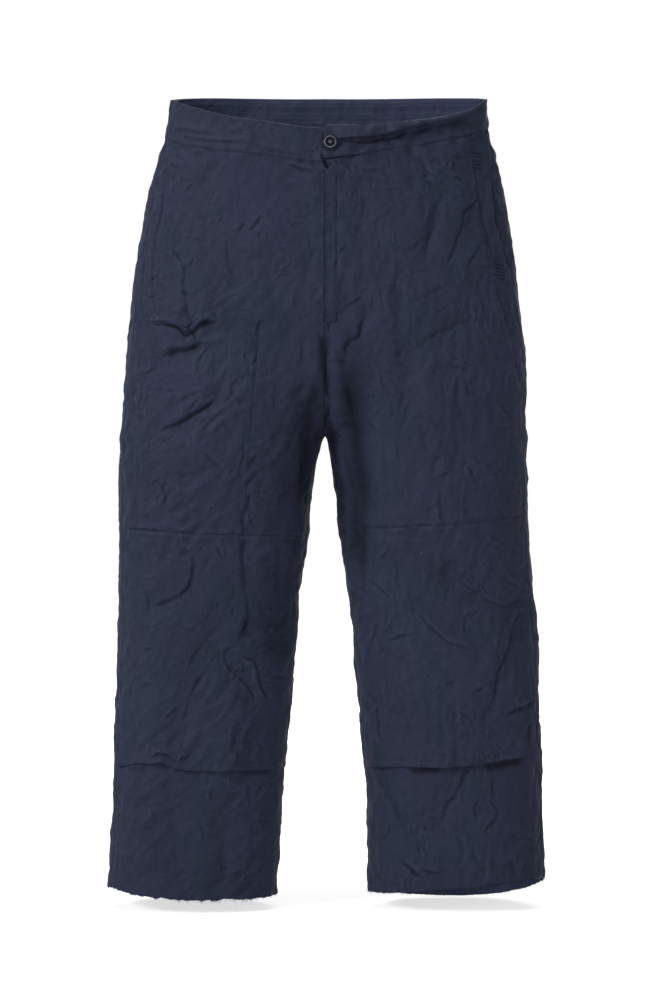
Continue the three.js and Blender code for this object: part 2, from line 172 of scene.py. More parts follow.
@dataclass(frozen=True)
class Table:
    """Rows of sizes under named columns, read on a smooth curve between the rows."""

    names: str
    rows: tuple[tuple[float, ...], ...]

    def at(self, name: str, places: Array) -> Array:
        """Read a column at places on the first one.

        Each stretch is a cubic with the slopes of its neighbours: start + rise·t +
        t(1−t)((m₀−rise)(1−t) + (rise−m₁)t), with m₀ and m₁ the slopes times the span.

        Args:
            name: The column's name.
            places: Places on the first column.

        Returns:
            The values there.
        """
        data = np.asarray(self.rows, float)
        data = data if data[0, 0] < data[-1, 0] else data[::-1]
        keys, values = data[:, 0], data[:, self.names.split().index(name)]
        slopes = np.gradient(values)
        slopes[1:-1] = (values[2:] - values[:-2]) / (keys[2:] - keys[:-2])
        slopes[[0, -1]] = np.diff(values)[[0, -1]] / np.diff(keys)[[0, -1]]
        i = np.clip(np.searchsorted(keys, places, side="right") - 1, 0, len(keys) - 2)
        span, rise = keys[i + 1] - keys[i], values[i + 1] - values[i]
        t = np.clip((places - keys[i]) / span, 0, 1)
        start, end = slopes[i] * span - rise, rise - slopes[i + 1] * span
        return values[i] + rise * t + t * (1 - t) * (start * (1 - t) + end * t)


class Grain:
    """Gradient noise in space, the same on every run.

    Each corner of a lattice of cubes has a direction of its own. The value at a place is the
    sum of the dot products of the eight directions with the ways to the place, each weighted
    by 6t⁵ − 15t⁴ + 10t³ along the three axes.
    """

    def __init__(self, seed: int) -> None:
        """Draw the directions.

        Args:
            seed: Starts the random numbers.
        """
        numbers = np.random.default_rng(seed)
        self.order = numbers.permutation(256)
        self.ways = unit(numbers.normal(size=(256, 3)))

    def at(self, places: Array, size: float | Array) -> Array:
        """Noise of about −1 to 1.

        Args:
            places: Points on the last axis.
            size: The cubes' edge, one number or one for each axis.

        Returns:
            The noise at the places.
        """
        spot = places / np.asarray(size, float)
        cell = np.floor(spot).astype(int)
        rest = spot - cell
        ease = rest**3 * (rest * (6 * rest - 15) + 10)
        total = np.zeros(places.shape[:-1])
        for corner in np.ndindex(2, 2, 2):
            step = np.array(corner)
            key = self.order[(cell[..., 0] + step[0]) % 256]
            key = self.order[(key + cell[..., 1] + step[1]) % 256]
            key = self.order[(key + cell[..., 2] + step[2]) % 256]
            share = np.prod(np.where(step == 1, ease, 1 - ease), axis=-1)
            total += share * np.sum(self.ways[key] * (rest - step), axis=-1)
        return 1.6 * total


# ---------------------------------------------------------------- the form of the legs
class Side(Enum):
    """The wearer's sides, with the sign of X on each."""

    RIGHT = -1
    LEFT = 1

    @property
    def word(self) -> str:
        """The side's name in lower case."""
        return self.name.lower()


SECTIONS = Table(
    "z rightOuter leftOuter rightInner leftInner crest front back rightInset leftInset",
    (
        (45, 176, 184, -176, -184, 0, 65, 68, 2, 2),
        (15, 181, 189, -181, -189, 0, 68, 71, 2, 2),
        (-15, 186, 191, -186, -191, 0, 71, 75, 3, 3),
        (-48, 195, 200, -195, -200, 0, 76, 82, 6, 6),
        (-95, 208, 211, -208, -211, 2, 83, 92, 9, 10),
        (-142, 216, 219, -216, -219, 9, 89, 100, 11, 11),
        (-212, 226, 227, -222, -222, 30, 95, 106, 11, 8),
        (-259, 230, 232, -168, -168, 53, 97, 106, 10, 6),
        (-306, 234, 235, -88, -88, 78, 98, 104, 9, 5),
        (-340, 236, 234, -40, -40, 94, 97, 101, 9, 6),
        (-360, 238, 234, -13, -13, 102, 96, 99, 9, 6),
        (-371, 239, 235, 0, 0, 106, 95, 98, 9, 7),
        (-383, 239, 235, 5, 4, 110, 95, 96, 9, 7),
        (-412, 240, 236, 11, 8, 117, 93, 92, 8, 8),
        (-446, 240, 237, 16, 13, 123, 90, 88, 8, 8),
        (-493, 240, 239, 21, 18, 128, 87, 83, 8, 8),
        (-540, 241, 242, 28, 25, 133, 84, 79, 8, 8),
        (-586, 241, 247, 33, 31, 138, 81, 76, 8, 8),
        (-633, 243, 250, 36, 35, 142, 78, 74, 7, 6),
        (-680, 245, 250, 40, 40, 145, 76, 73, 6, 5),
        (-727, 247, 252, 44, 43, 148, 73, 72, 6, 5),
        (-774, 247, 253, 48, 48, 150, 71, 71, 6, 5),
        (-820, 249, 254, 51, 49, 151, 69, 71, 6, 5),
        (-867, 252, 257, 54, 50, 153, 68, 70, 6, 5),
        (-900, 255, 256, 56, 51, 155, 67, 70, 6, 5),
        (-930, 256, 256, 57, 52, 155, 66, 70, 6, 5),
    ),
)

EDGE_NAMES = "round top waist pocket crotch knee flap hem"
EDGES = {
    Side.RIGHT: Table(EDGE_NAMES, (
        (0.00, -22, -60, -244, -371, -488, -757, -906),
        (0.25, -16, -54, -244, -371, -487, -756, -905),
        (0.50, -7, -46, -244, -371, -485, -756, -904),
        (0.75, 8, -37, -243, -371, -481, -748, -900),
        (1.00, 19.5, -25, -241, -371, -479, -754, -895),
        (1.50, 30, -12, -241, -371, -484, -755, -913),
        (2.00, 32, -8, -241, -371, -488, -757, -906),
    )),
    Side.LEFT: Table(EDGE_NAMES, (
        (0.00, -18, -56, -244, -371, -478, -755, -902),
        (0.25, -18, -49, -244, -371, -478, -752, -897),
        (0.50, -11, -38, -244, -371, -474, -751, -891),
        (0.75, 2, -26, -243, -371, -469, -746, -885),
        (1.00, 20, -15, -241, -371, -464, -742, -884),
        (1.50, 30, -10, -241, -371, -471, -748, -918),
        (2.00, 32, -8, -241, -371, -478, -755, -902),
    )),
}
STRETCHES = ("waist", "pocket", "crotch", "knee", "flap", "hem")

POCKET_LINE = Table("z x", (
    (45, 66), (-60, 69), (-244, 75), (-371, 84), (-490, 94), (-760, 118), (-930, 128),
))


@dataclass(frozen=True)
class Section:
    """The ovals of a leg at some heights."""

    outer: Array
    inner: Array
    crest: Array
    middle: Array
    depth: Array
    inset: Array


@dataclass(frozen=True)
class Leg:
    """The smooth tube that one leg's cloth lies on."""

    side: Side

    def section(self, z: Array) -> Section:
        """The ovals at some heights.

        Args:
            z: The heights.

        Returns:
            The ovals' sizes there.
        """
        front, back = SECTIONS.at("front", z), SECTIONS.at("back", z)
        return Section(
            outer=SECTIONS.at(f"{self.side.word}Outer", z),
            inner=SECTIONS.at(f"{self.side.word}Inner", z),
            crest=SECTIONS.at("crest", z),
            middle=(back - front) / 2,
            depth=(back + front) / 2,
            inset=SECTIONS.at(f"{self.side.word}Inset", z),
        )

    def point(self, turn: Array, z: Array) -> Array:
        """Points of the ovals.

        X is crest + reach·cos(turn) and Y is middle − depth·sin(turn), with the cosine and
        the sine raised to 2/roundness; the reach is the outer or the inner half's.

        Args:
            turn: Angle from the outermost side, above nought in front.
            z: Heights.

        Returns:
            The points on the last axis.
        """
        oval = self.section(z)
        across = power(np.cos(turn), 2 / ROUNDNESS)
        reach = np.where(across > 0, oval.outer - oval.crest, oval.crest - oval.inner)
        y = oval.middle - oval.depth * power(np.sin(turn), 2 / ROUNDNESS)
        return np.stack([self.side.value * (oval.crest + across * reach), y, z + 0 * y], -1)

    def turn_at(self, x: Array, z: Array) -> Array:
        """The turn of the front point at a distance from the centre plane.

        Args:
            x: The distance.
            z: The height.

        Returns:
            Its angle from the outermost side.
        """
        oval = self.section(z)
        reach = np.where(x > oval.crest, oval.outer - oval.crest, oval.crest - oval.inner)
        across = np.clip((x - oval.crest) / reach, -1, 1)
        return np.arccos(power(across, ROUNDNESS / 2))

    def speed(self, turn: Array, z: Array, step: float = 0.02) -> Array:
        """How fast a point moves with its turn, millimetres a radian."""
        way = self.point(turn + step, z) - self.point(turn - step, z)
        return np.linalg.norm(way, axis=-1) / (2 * step)

    def outward(self, turn: Array, z: Array, step: float = 0.02, rise: float = 2.0) -> Array:
        """The outward direction: across the ovals times up the leg, turned to face out.

        Args:
            turn: Angles from the outermost side.
            z: Heights.
            step: Half of the angle over which the slope is measured.
            rise: Half of the height over which it is measured.

        Returns:
            The directions, of length one.
        """
        along = self.point(turn + step, z) - self.point(turn - step, z)
        up = self.point(turn, z + rise) - self.point(turn, z - rise)
        normal = unit(np.cross(along, up))
        oval = self.section(z)
        centre = np.stack([self.side.value * oval.crest, oval.middle, z + 0 * oval.middle], -1)
        facing = np.sum(normal * (self.point(turn, z) - centre), axis=-1, keepdims=True)
        return np.where(facing < 0, -normal, normal)

    def turn_of(self, place: Array, z: Array, back: bool = False) -> Array:
        """The turn at a place round the leg.

        Args:
            place: Nought at the centre front or inseam, one at the side, two at the back's.
            z: Heights.
            back: Whether the places are on the back panel.

        Returns:
            The turns, clear of the seams by half of their gap.
        """
        oval = self.section(z)
        start = self.turn_at(0 * z, z)
        side = self.turn_at(oval.outer - oval.inset, z)
        if back:
            first = side - CLOSED / self.speed(side, z)
            last = -start + CLOSED / self.speed(-start, z)
            return first + (last - first) * (place - 1)
        inseam = np.maximum(oval.inner, 0)
        turns = (
            start - CLOSED / self.speed(start, z),
            self.turn_at(inseam + PLACKET_WIDTH, z),
            self.turn_at(POCKET_LINE.at("x", z), z),
            side + CLOSED / self.speed(side, z),
        )
        turn = turns[0]
        for k, (near, far) in enumerate(zip(FRONT_STOPS, FRONT_STOPS[1:])):
            share = np.clip((place - near) / (far - near), 0, 2 if far == 1 else 1)
            turn = turn + (turns[k + 1] - turns[k]) * share
        return turn

    def edge(self, name: str, place: Array) -> Array:
        """The height of a seam or edge at places round the leg."""
        return EDGES[self.side].at(name, np.asarray(place, float))


LEGS = {side: Leg(side) for side in Side}


# ---------------------------------------------------------------- creases
@dataclass(frozen=True)
class Elevation:
    """The front or back elevation that creases are drawn on.

    The front one is drawn as it looks from a point straight in front, so that near cloth is
    a little larger. The back one is a plain parallel view.
    """

    across: float = 12.9
    away: float = 3200.0
    up: float = -451.0
    front: bool = True

    def flatten(self, points: Array) -> tuple[Array, Array]:
        """Drawing places of points: each is scaled towards the middle by away/(away + y).

        Args:
            points: Points of space.

        Returns:
            Places across and up the drawing.
        """
        if not self.front:
            return points[..., 0], points[..., 2]
        scale = self.away / (self.away + points[..., 1])
        u = self.across + (points[..., 0] - self.across) * scale
        return u, self.up + (points[..., 2] - self.up) * scale


@dataclass(frozen=True)
class Crease:
    """A fold pressed along a drawn line.

    Across the line, at a distance d in widths towards the light, its height is the sum of a
    crisp part and a soft one. The crisp part is a valley that falls as e^(−1.8d) on the
    light's side and as e^(−0.7|d|) on the other, beside a bulge (d/1.3)·e^(1−d/1.3) on the
    light's side. The soft part is a plain trough e^(−d²). It narrows and dies away towards
    its ends.

    Attributes:
        depth: Its height in all, millimetres.
        width: Its half-width, millimetres.
        path: The line on the elevation.
        sharp: Share of the crisp part.
        bulge: Share of the crisp part that stands out instead of going in.
        ends: Share of its length over which each end dies away.
    """

    depth: float
    width: float
    path: Path
    sharp: float = 0.8
    bulge: float = 0.5
    ends: float = 0.42

    def profile(self, d: Array) -> Array:
        """Height across the line at distances in widths.

        Args:
            d: The distances, above nought towards the light.

        Returns:
            Millimetres outwards.
        """
        far = np.abs(d)
        valley = np.where(d > 0, np.exp(-1.8 * far), np.exp(-0.7 * far))
        rise = np.where(d > 0, far / 1.3 * np.exp(1 - far / 1.3), 0)
        crisp = self.bulge * rise - (1 - self.bulge) * valley
        return self.depth * (self.sharp * crisp - (1 - self.sharp) * np.exp(-(d**2)))

    def height(self, u: Array, v: Array, numbers: np.random.Generator | None) -> Array:
        """How far the cloth stands out at places of the drawing.

        Args:
            u: Places across.
            v: Places up.
            numbers: Gives the crease its uneven depth.

        Returns:
            Millimetres outwards, nought far from the crease.
        """
        line = spline(np.asarray(self.path, float), 3)
        uneven = np.ones(8)
        if numbers is not None:
            line[1:-1] += numbers.normal(0, 0.16 * min(self.width, 3), line[1:-1].shape)
            uneven = numbers.uniform(0.5, 1.3, 8)
        reach = 5.5 * self.width
        low, high = line.min(0) - reach, line.max(0) + reach
        result = np.zeros(u.shape)
        near = (u > low[0]) & (u < high[0]) & (v > low[1]) & (v < high[1])
        if not near.any():
            return result
        here = np.stack([u[near], v[near]], -1)[:, None]
        step = np.diff(line, axis=0)[None]
        size = np.linalg.norm(step[0], axis=-1)
        share = np.clip(np.sum((here - line[None, :-1]) * step, -1) / size**2, 0, 1)
        gap = here - line[None, :-1] - share[..., None] * step
        far = np.linalg.norm(gap, axis=-1)
        best = np.argmin(far, axis=1)
        pick = np.arange(len(best))
        turned = step[0, best, 0] * gap[pick, best, 1] - step[0, best, 1] * gap[pick, best, 0]
        chord = line[-1] - line[0]
        lit = 1 if chord[0] * LIGHT_WAY[0] + chord[1] * LIGHT_WAY[1] > 0 else -1
        start = np.concatenate([[0], np.cumsum(size)])
        along = start[best] + share[pick, best] * size[best]
        total = start[-1]
        fade = max(self.ends * total, 1e-3)
        taper = smoothstep(along, 0, fade) * smoothstep(total - along, 0, fade)
        if self.ends == 0:
            taper = np.ones_like(along)
        d = lit * np.sign(turned) * far[pick, best] / (self.width * (0.5 + 0.5 * taper))
        edge = 1 - smoothstep(far[pick, best], 0.8 * reach, reach)
        strength = taper * edge * np.interp(along, np.linspace(0, total, 8), uneven)
        result[near] = strength * self.profile(d)
        return result


def press(depth: float, width: float, *line: float, **shape: float) -> Crease:
    """A crease whose line is given as its places across and up in turn."""
    return Crease(depth, width, tuple(zip(line[::2], line[1::2])), **shape)


def shade(loss: float, width: float, *line: float, ends: float = 0.42) -> Crease:
    """A soft line of painted shade, whose depth is the share of light that the cloth loses there.
    """
    return press(loss, width, *line, sharp=0, ends=ends)


def hairlines(seed: int, clusters: int, spread: float = 1.0) -> tuple[Crease, ...]:
    """Groups of short fine creases that lie nearly side by side, scattered over the legs.

    Args:
        seed: Starts the random numbers.
        clusters: How many groups.
        spread: Scales their lengths and widths.

    Returns:
        The creases.
    """
    numbers = np.random.default_rng(seed)
    made = []
    for _ in range(clusters):
        side = numbers.choice((-1, 1))
        centre = np.array([side * numbers.uniform(15, 240), numbers.uniform(-905, -30)])
        slant = numbers.normal(0.75 if side < 0 else 2.2, 0.65)
        for _ in range(numbers.integers(2, 6)):
            middle = centre + numbers.normal(0, 11, 2) * spread
            turn = slant + numbers.normal(0, 0.22)
            half = numbers.uniform(4, 15) * spread
            way = np.array([np.cos(turn), np.sin(turn)])
            bend = np.array([-way[1], way[0]]) * numbers.normal(0, 0.16) * half
            path = (middle - half * way, middle + bend, middle + half * way)
            made.append(Crease(
                numbers.uniform(0.35, 1.0), numbers.uniform(1.1, 1.9) * spread,
                tuple(tuple(spot) for spot in path),
            ))
    return tuple(made)


# The main long folds: a line from one place to another, its half-width and its depth.
FRONT_FOLDS = (
    (0, -268, 0, -372, 9, 7), (36, -312, 40, -440, 20, 10), (-24, -322, -22, -440, 15, 6),
    (134, -97, 112, -175, 15, 4), (176, -101, 142, -179, 13, 3), (183, -166, 225, -319, 13, -3),
    (42, -85, 40, -159, 15, 3), (49, -201, 11, -239, 13, 3), (48, -234, 24, -286, 13, 5),
    (93, -258, 91, -345, 17, 4), (160, -240, 90, -283, 14, 3), (-187, -282, -140, -269, 14, 4),
    (-188, -368, -122, -329, 14, 4), (-174, -150, -157, -249, 14, 3),
    (-38, -431, -55, -475, 14, 3), (-196, -567, -154, -547, 14, 4), (-93, -485, -94, -605, 16, 3),
    (-114, -625, -81, -671, 14, 4), (-122, -591, -170, -711, 15, 4), (104, -571, 175, -616, 14, 4),
    (179, -555, 211, -568, 14, 3), (225, -574, 191, -686, 14, 3), (36, -488, 39, -558, 15, 5),
    (66, -778, 99, -842, 15, 4), (160, -755, 133, -816, 15, 4), (-174, -790, -168, -867, 17, 4),
    (-116, -806, -120, -876, 17, 4),
)
BACK_FOLDS = (
    (0, -150, 0, -350, 14, 4), (58, -215, 118, -318, 18, 4), (-52, -232, -112, -322, 18, 4),
    (38, -388, 128, -366, 14, 4), (-44, -396, -142, -378, 14, 4), (62, -430, 128, -418, 14, 3),
    (-180, -512, -96, -540, 16, 5), (186, -498, 104, -530, 16, 5), (-70, -572, -164, -592, 15, 4),
    (74, -566, 158, -600, 15, 4), (150, -690, 120, -792, 18, 4), (-158, -702, -128, -800, 18, 4),
    (196, -790, 188, -868, 17, 3), (-92, -812, -98, -884, 17, 3),
)

# The creases of the front, drawn on its elevation: depth, half-width and the line.
FRONT_CREASES = (
    # the slits of the side pockets and the thigh pocket's mouth
    press(1.2, 1.8, -184, -40, -186, -60, -190, -80, -192, -107, -194, -125, -198, -137,
          -201, -151, -203, -170, -202, -205, -199, -236, ends=0.08),
    press(0.25, 1.8, -171, -28, -173, -80, -177, -130, -182, -200, ends=0.1),
    press(4.5, 2.6, 194, -66, 195, -76, 196, -89, 199, -103, 201, -121, 204, -133, 209, -155,
          214, -178, ends=0.1),
    press(0.9, 1.8, 170, -20, 178, -80, 189, -140, 199, -180, ends=0.1),
    press(4.4, 2.6, -206, -239, -190, -240, -178, -242, -169, -245, -161, -251, -154, -248,
          -147, -245, -138, -240, -124, -237, ends=0.12, bulge=0.6),
    press(2.0, 2.0, -166, -262, -161, -251, -157, -238, -153, -226),
    press(1.8, 2.0, -148, -262, -155, -252, -163, -240),
    # wearer's right hip
    press(1.7, 2.2, -178, -12, -155, -15, -138, -17, -122, -17, ends=0.2),
    press(1.4, 2.2, -178, -19, -150, -24, -120, -27, -95, -26, -72, -30, ends=0.3),
    press(1.4, 2.6, -116, -12, -107, -15, -102, -14, -94, -18),
    press(1.4, 2.2, -84, -30, -60, -37, -38, -41, -14, -44, ends=0.3),
    press(0.7, 3.6, -146, -41, -143, -52, -142, -71, -146, -77, -140, -88, -134, -98, -130, -106),
    press(3.0, 2.4, -48, -49, -38, -54, -26, -59, -9, -62),
    press(1.7, 2.6, -108, -135, -99, -128, -93, -118),
    press(1.9, 2.6, -92, -134, -83, -125, -72, -112),
    press(1.3, 2.4, -84, -140, -70, -130),
    press(1.2, 2.4, -52, -148, -49, -154, -44, -163),
    press(1.6, 2.4, -183, -147, -177, -156, -170, -168, -165, -180, -168, -191, -169, -202,
          ends=0.3),
    press(2.2, 3.0, -169, -186, -165, -205, -164, -223, -161, -234, -158, -246, ends=0.25),
    press(1.5, 2.4, -166, -181, -158, -170, -151, -160),
    press(1.3, 2.4, -206, -190, -192, -180),
    press(1.2, 3.4, -115, -135, -115, -161, -112, -176, -107, -190),
    press(1.0, 2.6, -118, -183, -109, -200),
    press(1.1, 2.2, -184, -51, -172, -57),
    press(1.0, 2.2, -180, -61, -176, -79),
    press(0.9, 2.2, -166, -61, -169, -82),
    press(0.5, 5.0, -64, -81, -8, -76, sharp=0.2),
    press(0.5, 5.0, -46, -100, -10, -103, sharp=0.2),
    press(1.4, 9.0, -8, -132, -18, -160, -24, -196, sharp=0.1),
    press(0.9, 7.0, -70, -170, -62, -205, -66, -238, sharp=0.1),
    # below the button
    press(4.5, 2.0, -4, -41, -2, -48, 1, -54, 4, -60, ends=0.2, bulge=0.3),
    press(2.2, 1.8, 1, -50, 6, -52, 12, -56),
    press(2.2, 1.8, 104, 3, 109, -2, 112, -9, ends=0.3),
    # wearer's left hip
    press(1.3, 2.8, 39, -57, 48, -61, 70, -58),
    press(0.9, 4.0, 43, -72, 45, -91, 45, -113, 40, -127, 37, -136, 41, -156, sharp=0.3),
    press(0.8, 3.0, 66, -79, 100, -85),
    press(1.0, 3.0, 82, -103, 70, -113, 60, -119, 49, -127),
    press(2.2, 6.0, 144, -82, 133, -103, 128, -119, 123, -135, 120, -152, 117, -162, 106, -173,
          sharp=0.3),
    press(2.0, 2.8, 184, -85, 174, -100, 163, -108, 161, -122, 156, -136, 152, -151, 145, -168,
          139, -181, ends=0.25),
    press(1.6, 3.0, 188, -138, 175, -158, 161, -181),
    press(1.0, 2.0, 189, -108, 189, -143, 187, -158, 184, -174),
    press(1.4, 2.6, 28, -141, 18, -157, 13, -169, 6, -183),
    press(1.1, 2.4, 141, -41, 171, -48),
    press(1.2, 2.4, 153, -48, 147, -63),
    press(1.1, 2.4, 146, -68, 167, -72),
    press(0.7, 2.6, 94, -40, 88, -60),
    press(1.0, 2.8, 99, -181, 117, -177, 133, -180),
    press(1.0, 2.6, 113, -141, 101, -153),
    press(1.0, 8.0, 85, -140, 84, -187, 86, -275, 95, -292, 100, -313, 96, -335, 95, -375,
          sharp=0.2, ends=0.2),
    press(1.0, 2.6, 210, -156, 213, -174, 221, -178),
    press(0.8, 3.0, 70, -140, 92, -152, 118, -150),
    press(0.8, 2.6, 58, -152, 66, -168, 62, -184),
    # the thigh pocket and the thigh beside it
    press(5.0, 3.6, -199, -281, -183, -273, -173, -270, -162, -269, -154, -266, -138, -260,
          ends=0.3),
    press(2.6, 2.4, -128, -256, -137, -268, -144, -277, -149, -287, -151, -303),
    press(1.3, 2.4, -132, -256, -146, -270),
    press(1.4, 2.6, -184, -340, -168, -328, -156, -322, -134, -317),
    press(2.2, 2.4, -163, -345, -152, -332, -145, -320),
    press(4.2, 3.2, -198, -367, -181, -359, -173, -358, -164, -351, -154, -344, -144, -339,
          -135, -333, -124, -325, ends=0.25),
    press(1.6, 2.6, -218, -299, -204, -295, -198, -285),
    press(1.0, 2.6, -113, -312, -106, -325, -95, -335),
    press(1.3, 2.8, -144, -383, -130, -402, -112, -415),
    press(1.3, 2.6, -99, -400, -109, -411, -114, -424),
    press(2.0, 3.0, -68, -405, -81, -416, -95, -431),
    press(1.5, 3.0, -89, -436, -93, -458, -98, -462, -97, -474, -93, -486, ends=0.25),
    press(1.7, 3.2, -34, -428, -46, -439, -57, -449),
    press(1.2, 2.4, -225, -411, -226, -392, -222, -384),
    press(1.0, 2.8, -197, -316, -172, -320),
    press(1.8, 4.0, -26, -254, -27, -282, -33, -296, sharp=0.3),
    press(0.8, 7.0, -60, -262, -54, -320, -62, -384, sharp=0.1),
    press(0.8, 3.0, -122, -352, -110, -372, -108, -392),
    press(0.8, 2.6, -205, -420, -190, -432, -186, -452),
    press(0.8, 3.6, -212, -250, -216, -290, -213, -330, -219, -372, ends=0.2),
    press(0.8, 3.4, -222, -262, -226, -310, -224, -350, ends=0.2),
    press(0.9, 3.6, -224, -380, -219, -420, -224, -470, ends=0.2),
    press(0.7, 3.4, -206, -300, -209, -345, -206, -390, ends=0.2),
    # the crotch and the inside of the thighs
    press(3.4, 3.4, -6, -250, -3, -271, -2, -292, 1, -320, 3, -337, -2, -368, ends=0.15),
    press(3.0, 3.4, 51, -226, 42, -240, 38, -254, 27, -261, 23, -268, 22, -284, ends=0.3),
    press(1.2, 3.0, -2, -284, 29, -283),
    press(6.0, 17.0, 20, -270, 26, -330, 30, -390, 34, -450, 38, -560, sharp=0, ends=0.3),
    press(2.2, 5.0, 22, -302, 26, -335, 27, -361, 28, -396, 29, -421, 32, -446, sharp=0.5,
          ends=0.2),
    press(1.7, 2.6, 53, -192, 45, -203, 38, -212, 27, -218, 19, -226, 10, -235, ends=0.3),
    press(1.2, 6.0, -24, -300, -25, -360, -24, -440, sharp=0.2, ends=0.2),
    # wearer's left thigh
    press(1.3, 4.0, 90, -280, 103, -270, 114, -263, 129, -252, 148, -244, 164, -238, 174, -233,
          192, -227, sharp=0.4),
    press(1.2, 2.6, 172, -242, 183, -230),
    press(1.1, 3.0, 138, -246, 136, -274),
    press(1.1, 4.0, 92, -217, 110, -211, 124, -204, 149, -191, sharp=0.4),
    press(1.0, 2.6, 124, -242, 132, -225, 146, -219),
    press(2.8, 3.2, 195, -185, 205, -220, 212, -245, 219, -275, 224, -301, 229, -314, 232, -335,
          234, -378, 236, -404, 238, -462, ends=0.06),
    press(1.2, 2.6, 199, -324, 208, -339, 221, -353),
    press(1.0, 2.6, 195, -361, 222, -361),
    press(0.9, 3.0, 145, -290, 172, -292),
    press(1.1, 2.8, 48, -357, 62, -367),
    press(1.2, 2.6, 162, -406, 171, -413, 177, -430),
    press(1.0, 2.4, 123, -404, 141, -392),
    press(1.0, 2.4, 129, -419, 151, -414),
    press(1.5, 3.2, 134, -435, 135, -458, 134, -476, ends=0.3),
    press(0.9, 2.6, 82, -374, 87, -408),
    press(0.7, 7.0, 160, -300, 152, -350, 158, -400, sharp=0.1),
    press(0.7, 7.0, 64, -380, 72, -430, 66, -474, sharp=0.1),
    # wearer's right knee
    press(2.6, 3.2, -153, -512, -155, -528, -157, -539, -161, -549, -168, -556, -180, -563,
          -206, -571, ends=0.2),
    press(1.0, 3.6, -158, -497, -171, -518, sharp=0.3),
    press(1.3, 2.4, -222, -554, -211, -556, -208, -566, -209, -584),
    press(1.7, 4.2, -95, -484, -97, -515, -94, -548, -90, -572, -92, -588, -102, -616, ends=0.12),
    press(1.5, 2.4, -100, -616, -108, -618, -115, -623, -117, -630, -114, -641, -106, -649,
          -97, -657, -87, -670, -81, -684, ends=0.2),
    press(2.2, 2.4, -99, -629, -89, -633, -83, -635, -79, -646, -76, -663, -70, -674, -66, -682,
          ends=0.2),
    press(1.4, 3.0, -124, -590, -136, -605, -147, -619, -153, -630, -166, -649),
    press(2.0, 3.2, -127, -622, -138, -643, -149, -659, -157, -673, -167, -683),
    press(1.3, 2.2, -214, -620, -199, -621),
    press(1.2, 2.2, -223, -656, -208, -651),
    press(1.1, 2.2, -214, -664, -200, -660),
    press(1.2, 2.4, -65, -650, -41, -656),
    press(1.1, 2.4, -56, -626, -35, -620),
    press(0.9, 6.0, -53, -466, -53, -534, -50, -566, sharp=0.2),
    press(0.8, 4.0, -64, -592, -61, -632, sharp=0.3),
    press(1.2, 2.6, -149, -470, -153, -486),
    press(0.9, 3.0, -180, -590, -150, -600, -134, -590),
    press(0.8, 3.0, -196, -690, -176, -676, -166, -660),
    press(0.8, 7.0, -186, -500, -190, -545, -184, -600, sharp=0.1),
    press(2.4, 24.0, -64, -500, -62, -560, -66, -650, sharp=0, ends=0.3),
    press(2.6, 1.9, -206, -757, -200, -746, -190, -742, -179, -747, -171, -756),
    press(1.8, 1.6, -171, -752, -163, -744),
    press(1.8, 1.6, -166, -752, -157, -743),
    # wearer's left knee
    press(2.4, 2.2, 240, -560, 242, -600, 244, -640, 246, -676, ends=0.15),
    press(1.4, 2.6, 57, -518, 72, -509, 74, -496),
    press(2.2, 4.0, 37, -496, 36, -512, 40, -538, 43, -562, ends=0.2),
    press(1.3, 2.6, 46, -536, 60, -547, 72, -557, 81, -568),
    press(1.1, 2.8, 82, -511, 83, -538, 88, -557),
    press(1.3, 3.0, 98, -541, 99, -558, 102, -573, 108, -594),
    press(1.5, 3.4, 103, -572, 115, -586, 123, -596, 135, -606, 146, -613, 159, -618, 183, -621,
          ends=0.25),
    press(1.1, 2.4, 89, -574, 80, -588),
    press(3.0, 2.2, 67, -614, 77, -610, 87, -606, 97, -604, 110, -601),
    press(1.2, 2.6, 72, -616, 58, -631),
    press(1.4, 3.2, 61, -580, 57, -603, 52, -624, 49, -640),
    press(0.9, 7.0, 138, -520, 138, -552, sharp=0.1),
    press(1.2, 2.4, 163, -586, 171, -578, 184, -574),
    press(1.3, 2.4, 169, -554, 188, -554),
    press(1.5, 2.8, 181, -557, 192, -565, 212, -571, 224, -565, 238, -560, ends=0.25),
    press(1.4, 2.4, 225, -533, 240, -517),
    press(1.2, 2.4, 212, -536, 229, -550),
    press(1.9, 3.0, 237, -572, 225, -586, 219, -603, 215, -619, 210, -632, 204, -644, 201, -651,
          201, -660, 195, -690, ends=0.2),
    press(1.5, 2.8, 246, -678, 229, -687, 207, -702),
    press(1.1, 2.2, 124, -674, 135, -665, 140, -672),
    press(1.0, 2.2, 142, -660, 156, -660),
    press(1.0, 2.2, 170, -673, 189, -664),
    press(1.6, 2.8, 43, -688, 54, -675, 57, -677, 62, -689, 63, -710, 65, -721, 75, -738,
          ends=0.25),
    press(0.9, 3.0, 69, -648, 76, -686),
    press(0.7, 5.0, 102, -632, 102, -697, sharp=0.2),
    press(0.7, 5.0, 121, -600, 123, -645, sharp=0.2),
    press(1.2, 6.0, 115, -722, 126, -732, sharp=0.2),
    press(1.2, 2.8, 130, -740, 148, -746),
    press(2.4, 3.0, 208, -702, 223, -692, 242, -680),
    press(0.9, 3.0, 150, -690, 170, -704, 176, -724),
    # below the right knee
    press(1.5, 2.6, -192, -703, -176, -694, -164, -684),
    press(1.5, 2.6, -155, -679, -162, -691, -167, -707, -172, -720),
    press(1.2, 3.2, -89, -776, -90, -790, -86, -808),
    press(1.2, 2.6, -185, -770, -191, -790),
    press(1.1, 2.6, -128, -778, -138, -800),
    press(1.0, 7.0, -177, -800, -180, -828, -175, -850, -176, -882, sharp=0.1),
    press(0.9, 7.0, -121, -838, -119, -869, -118, -897, sharp=0.1),
    press(0.8, 6.0, -87, -868, -87, -902, sharp=0.1),
    press(0.7, 6.0, -216, -776, -220, -830, -224, -884, sharp=0.1),
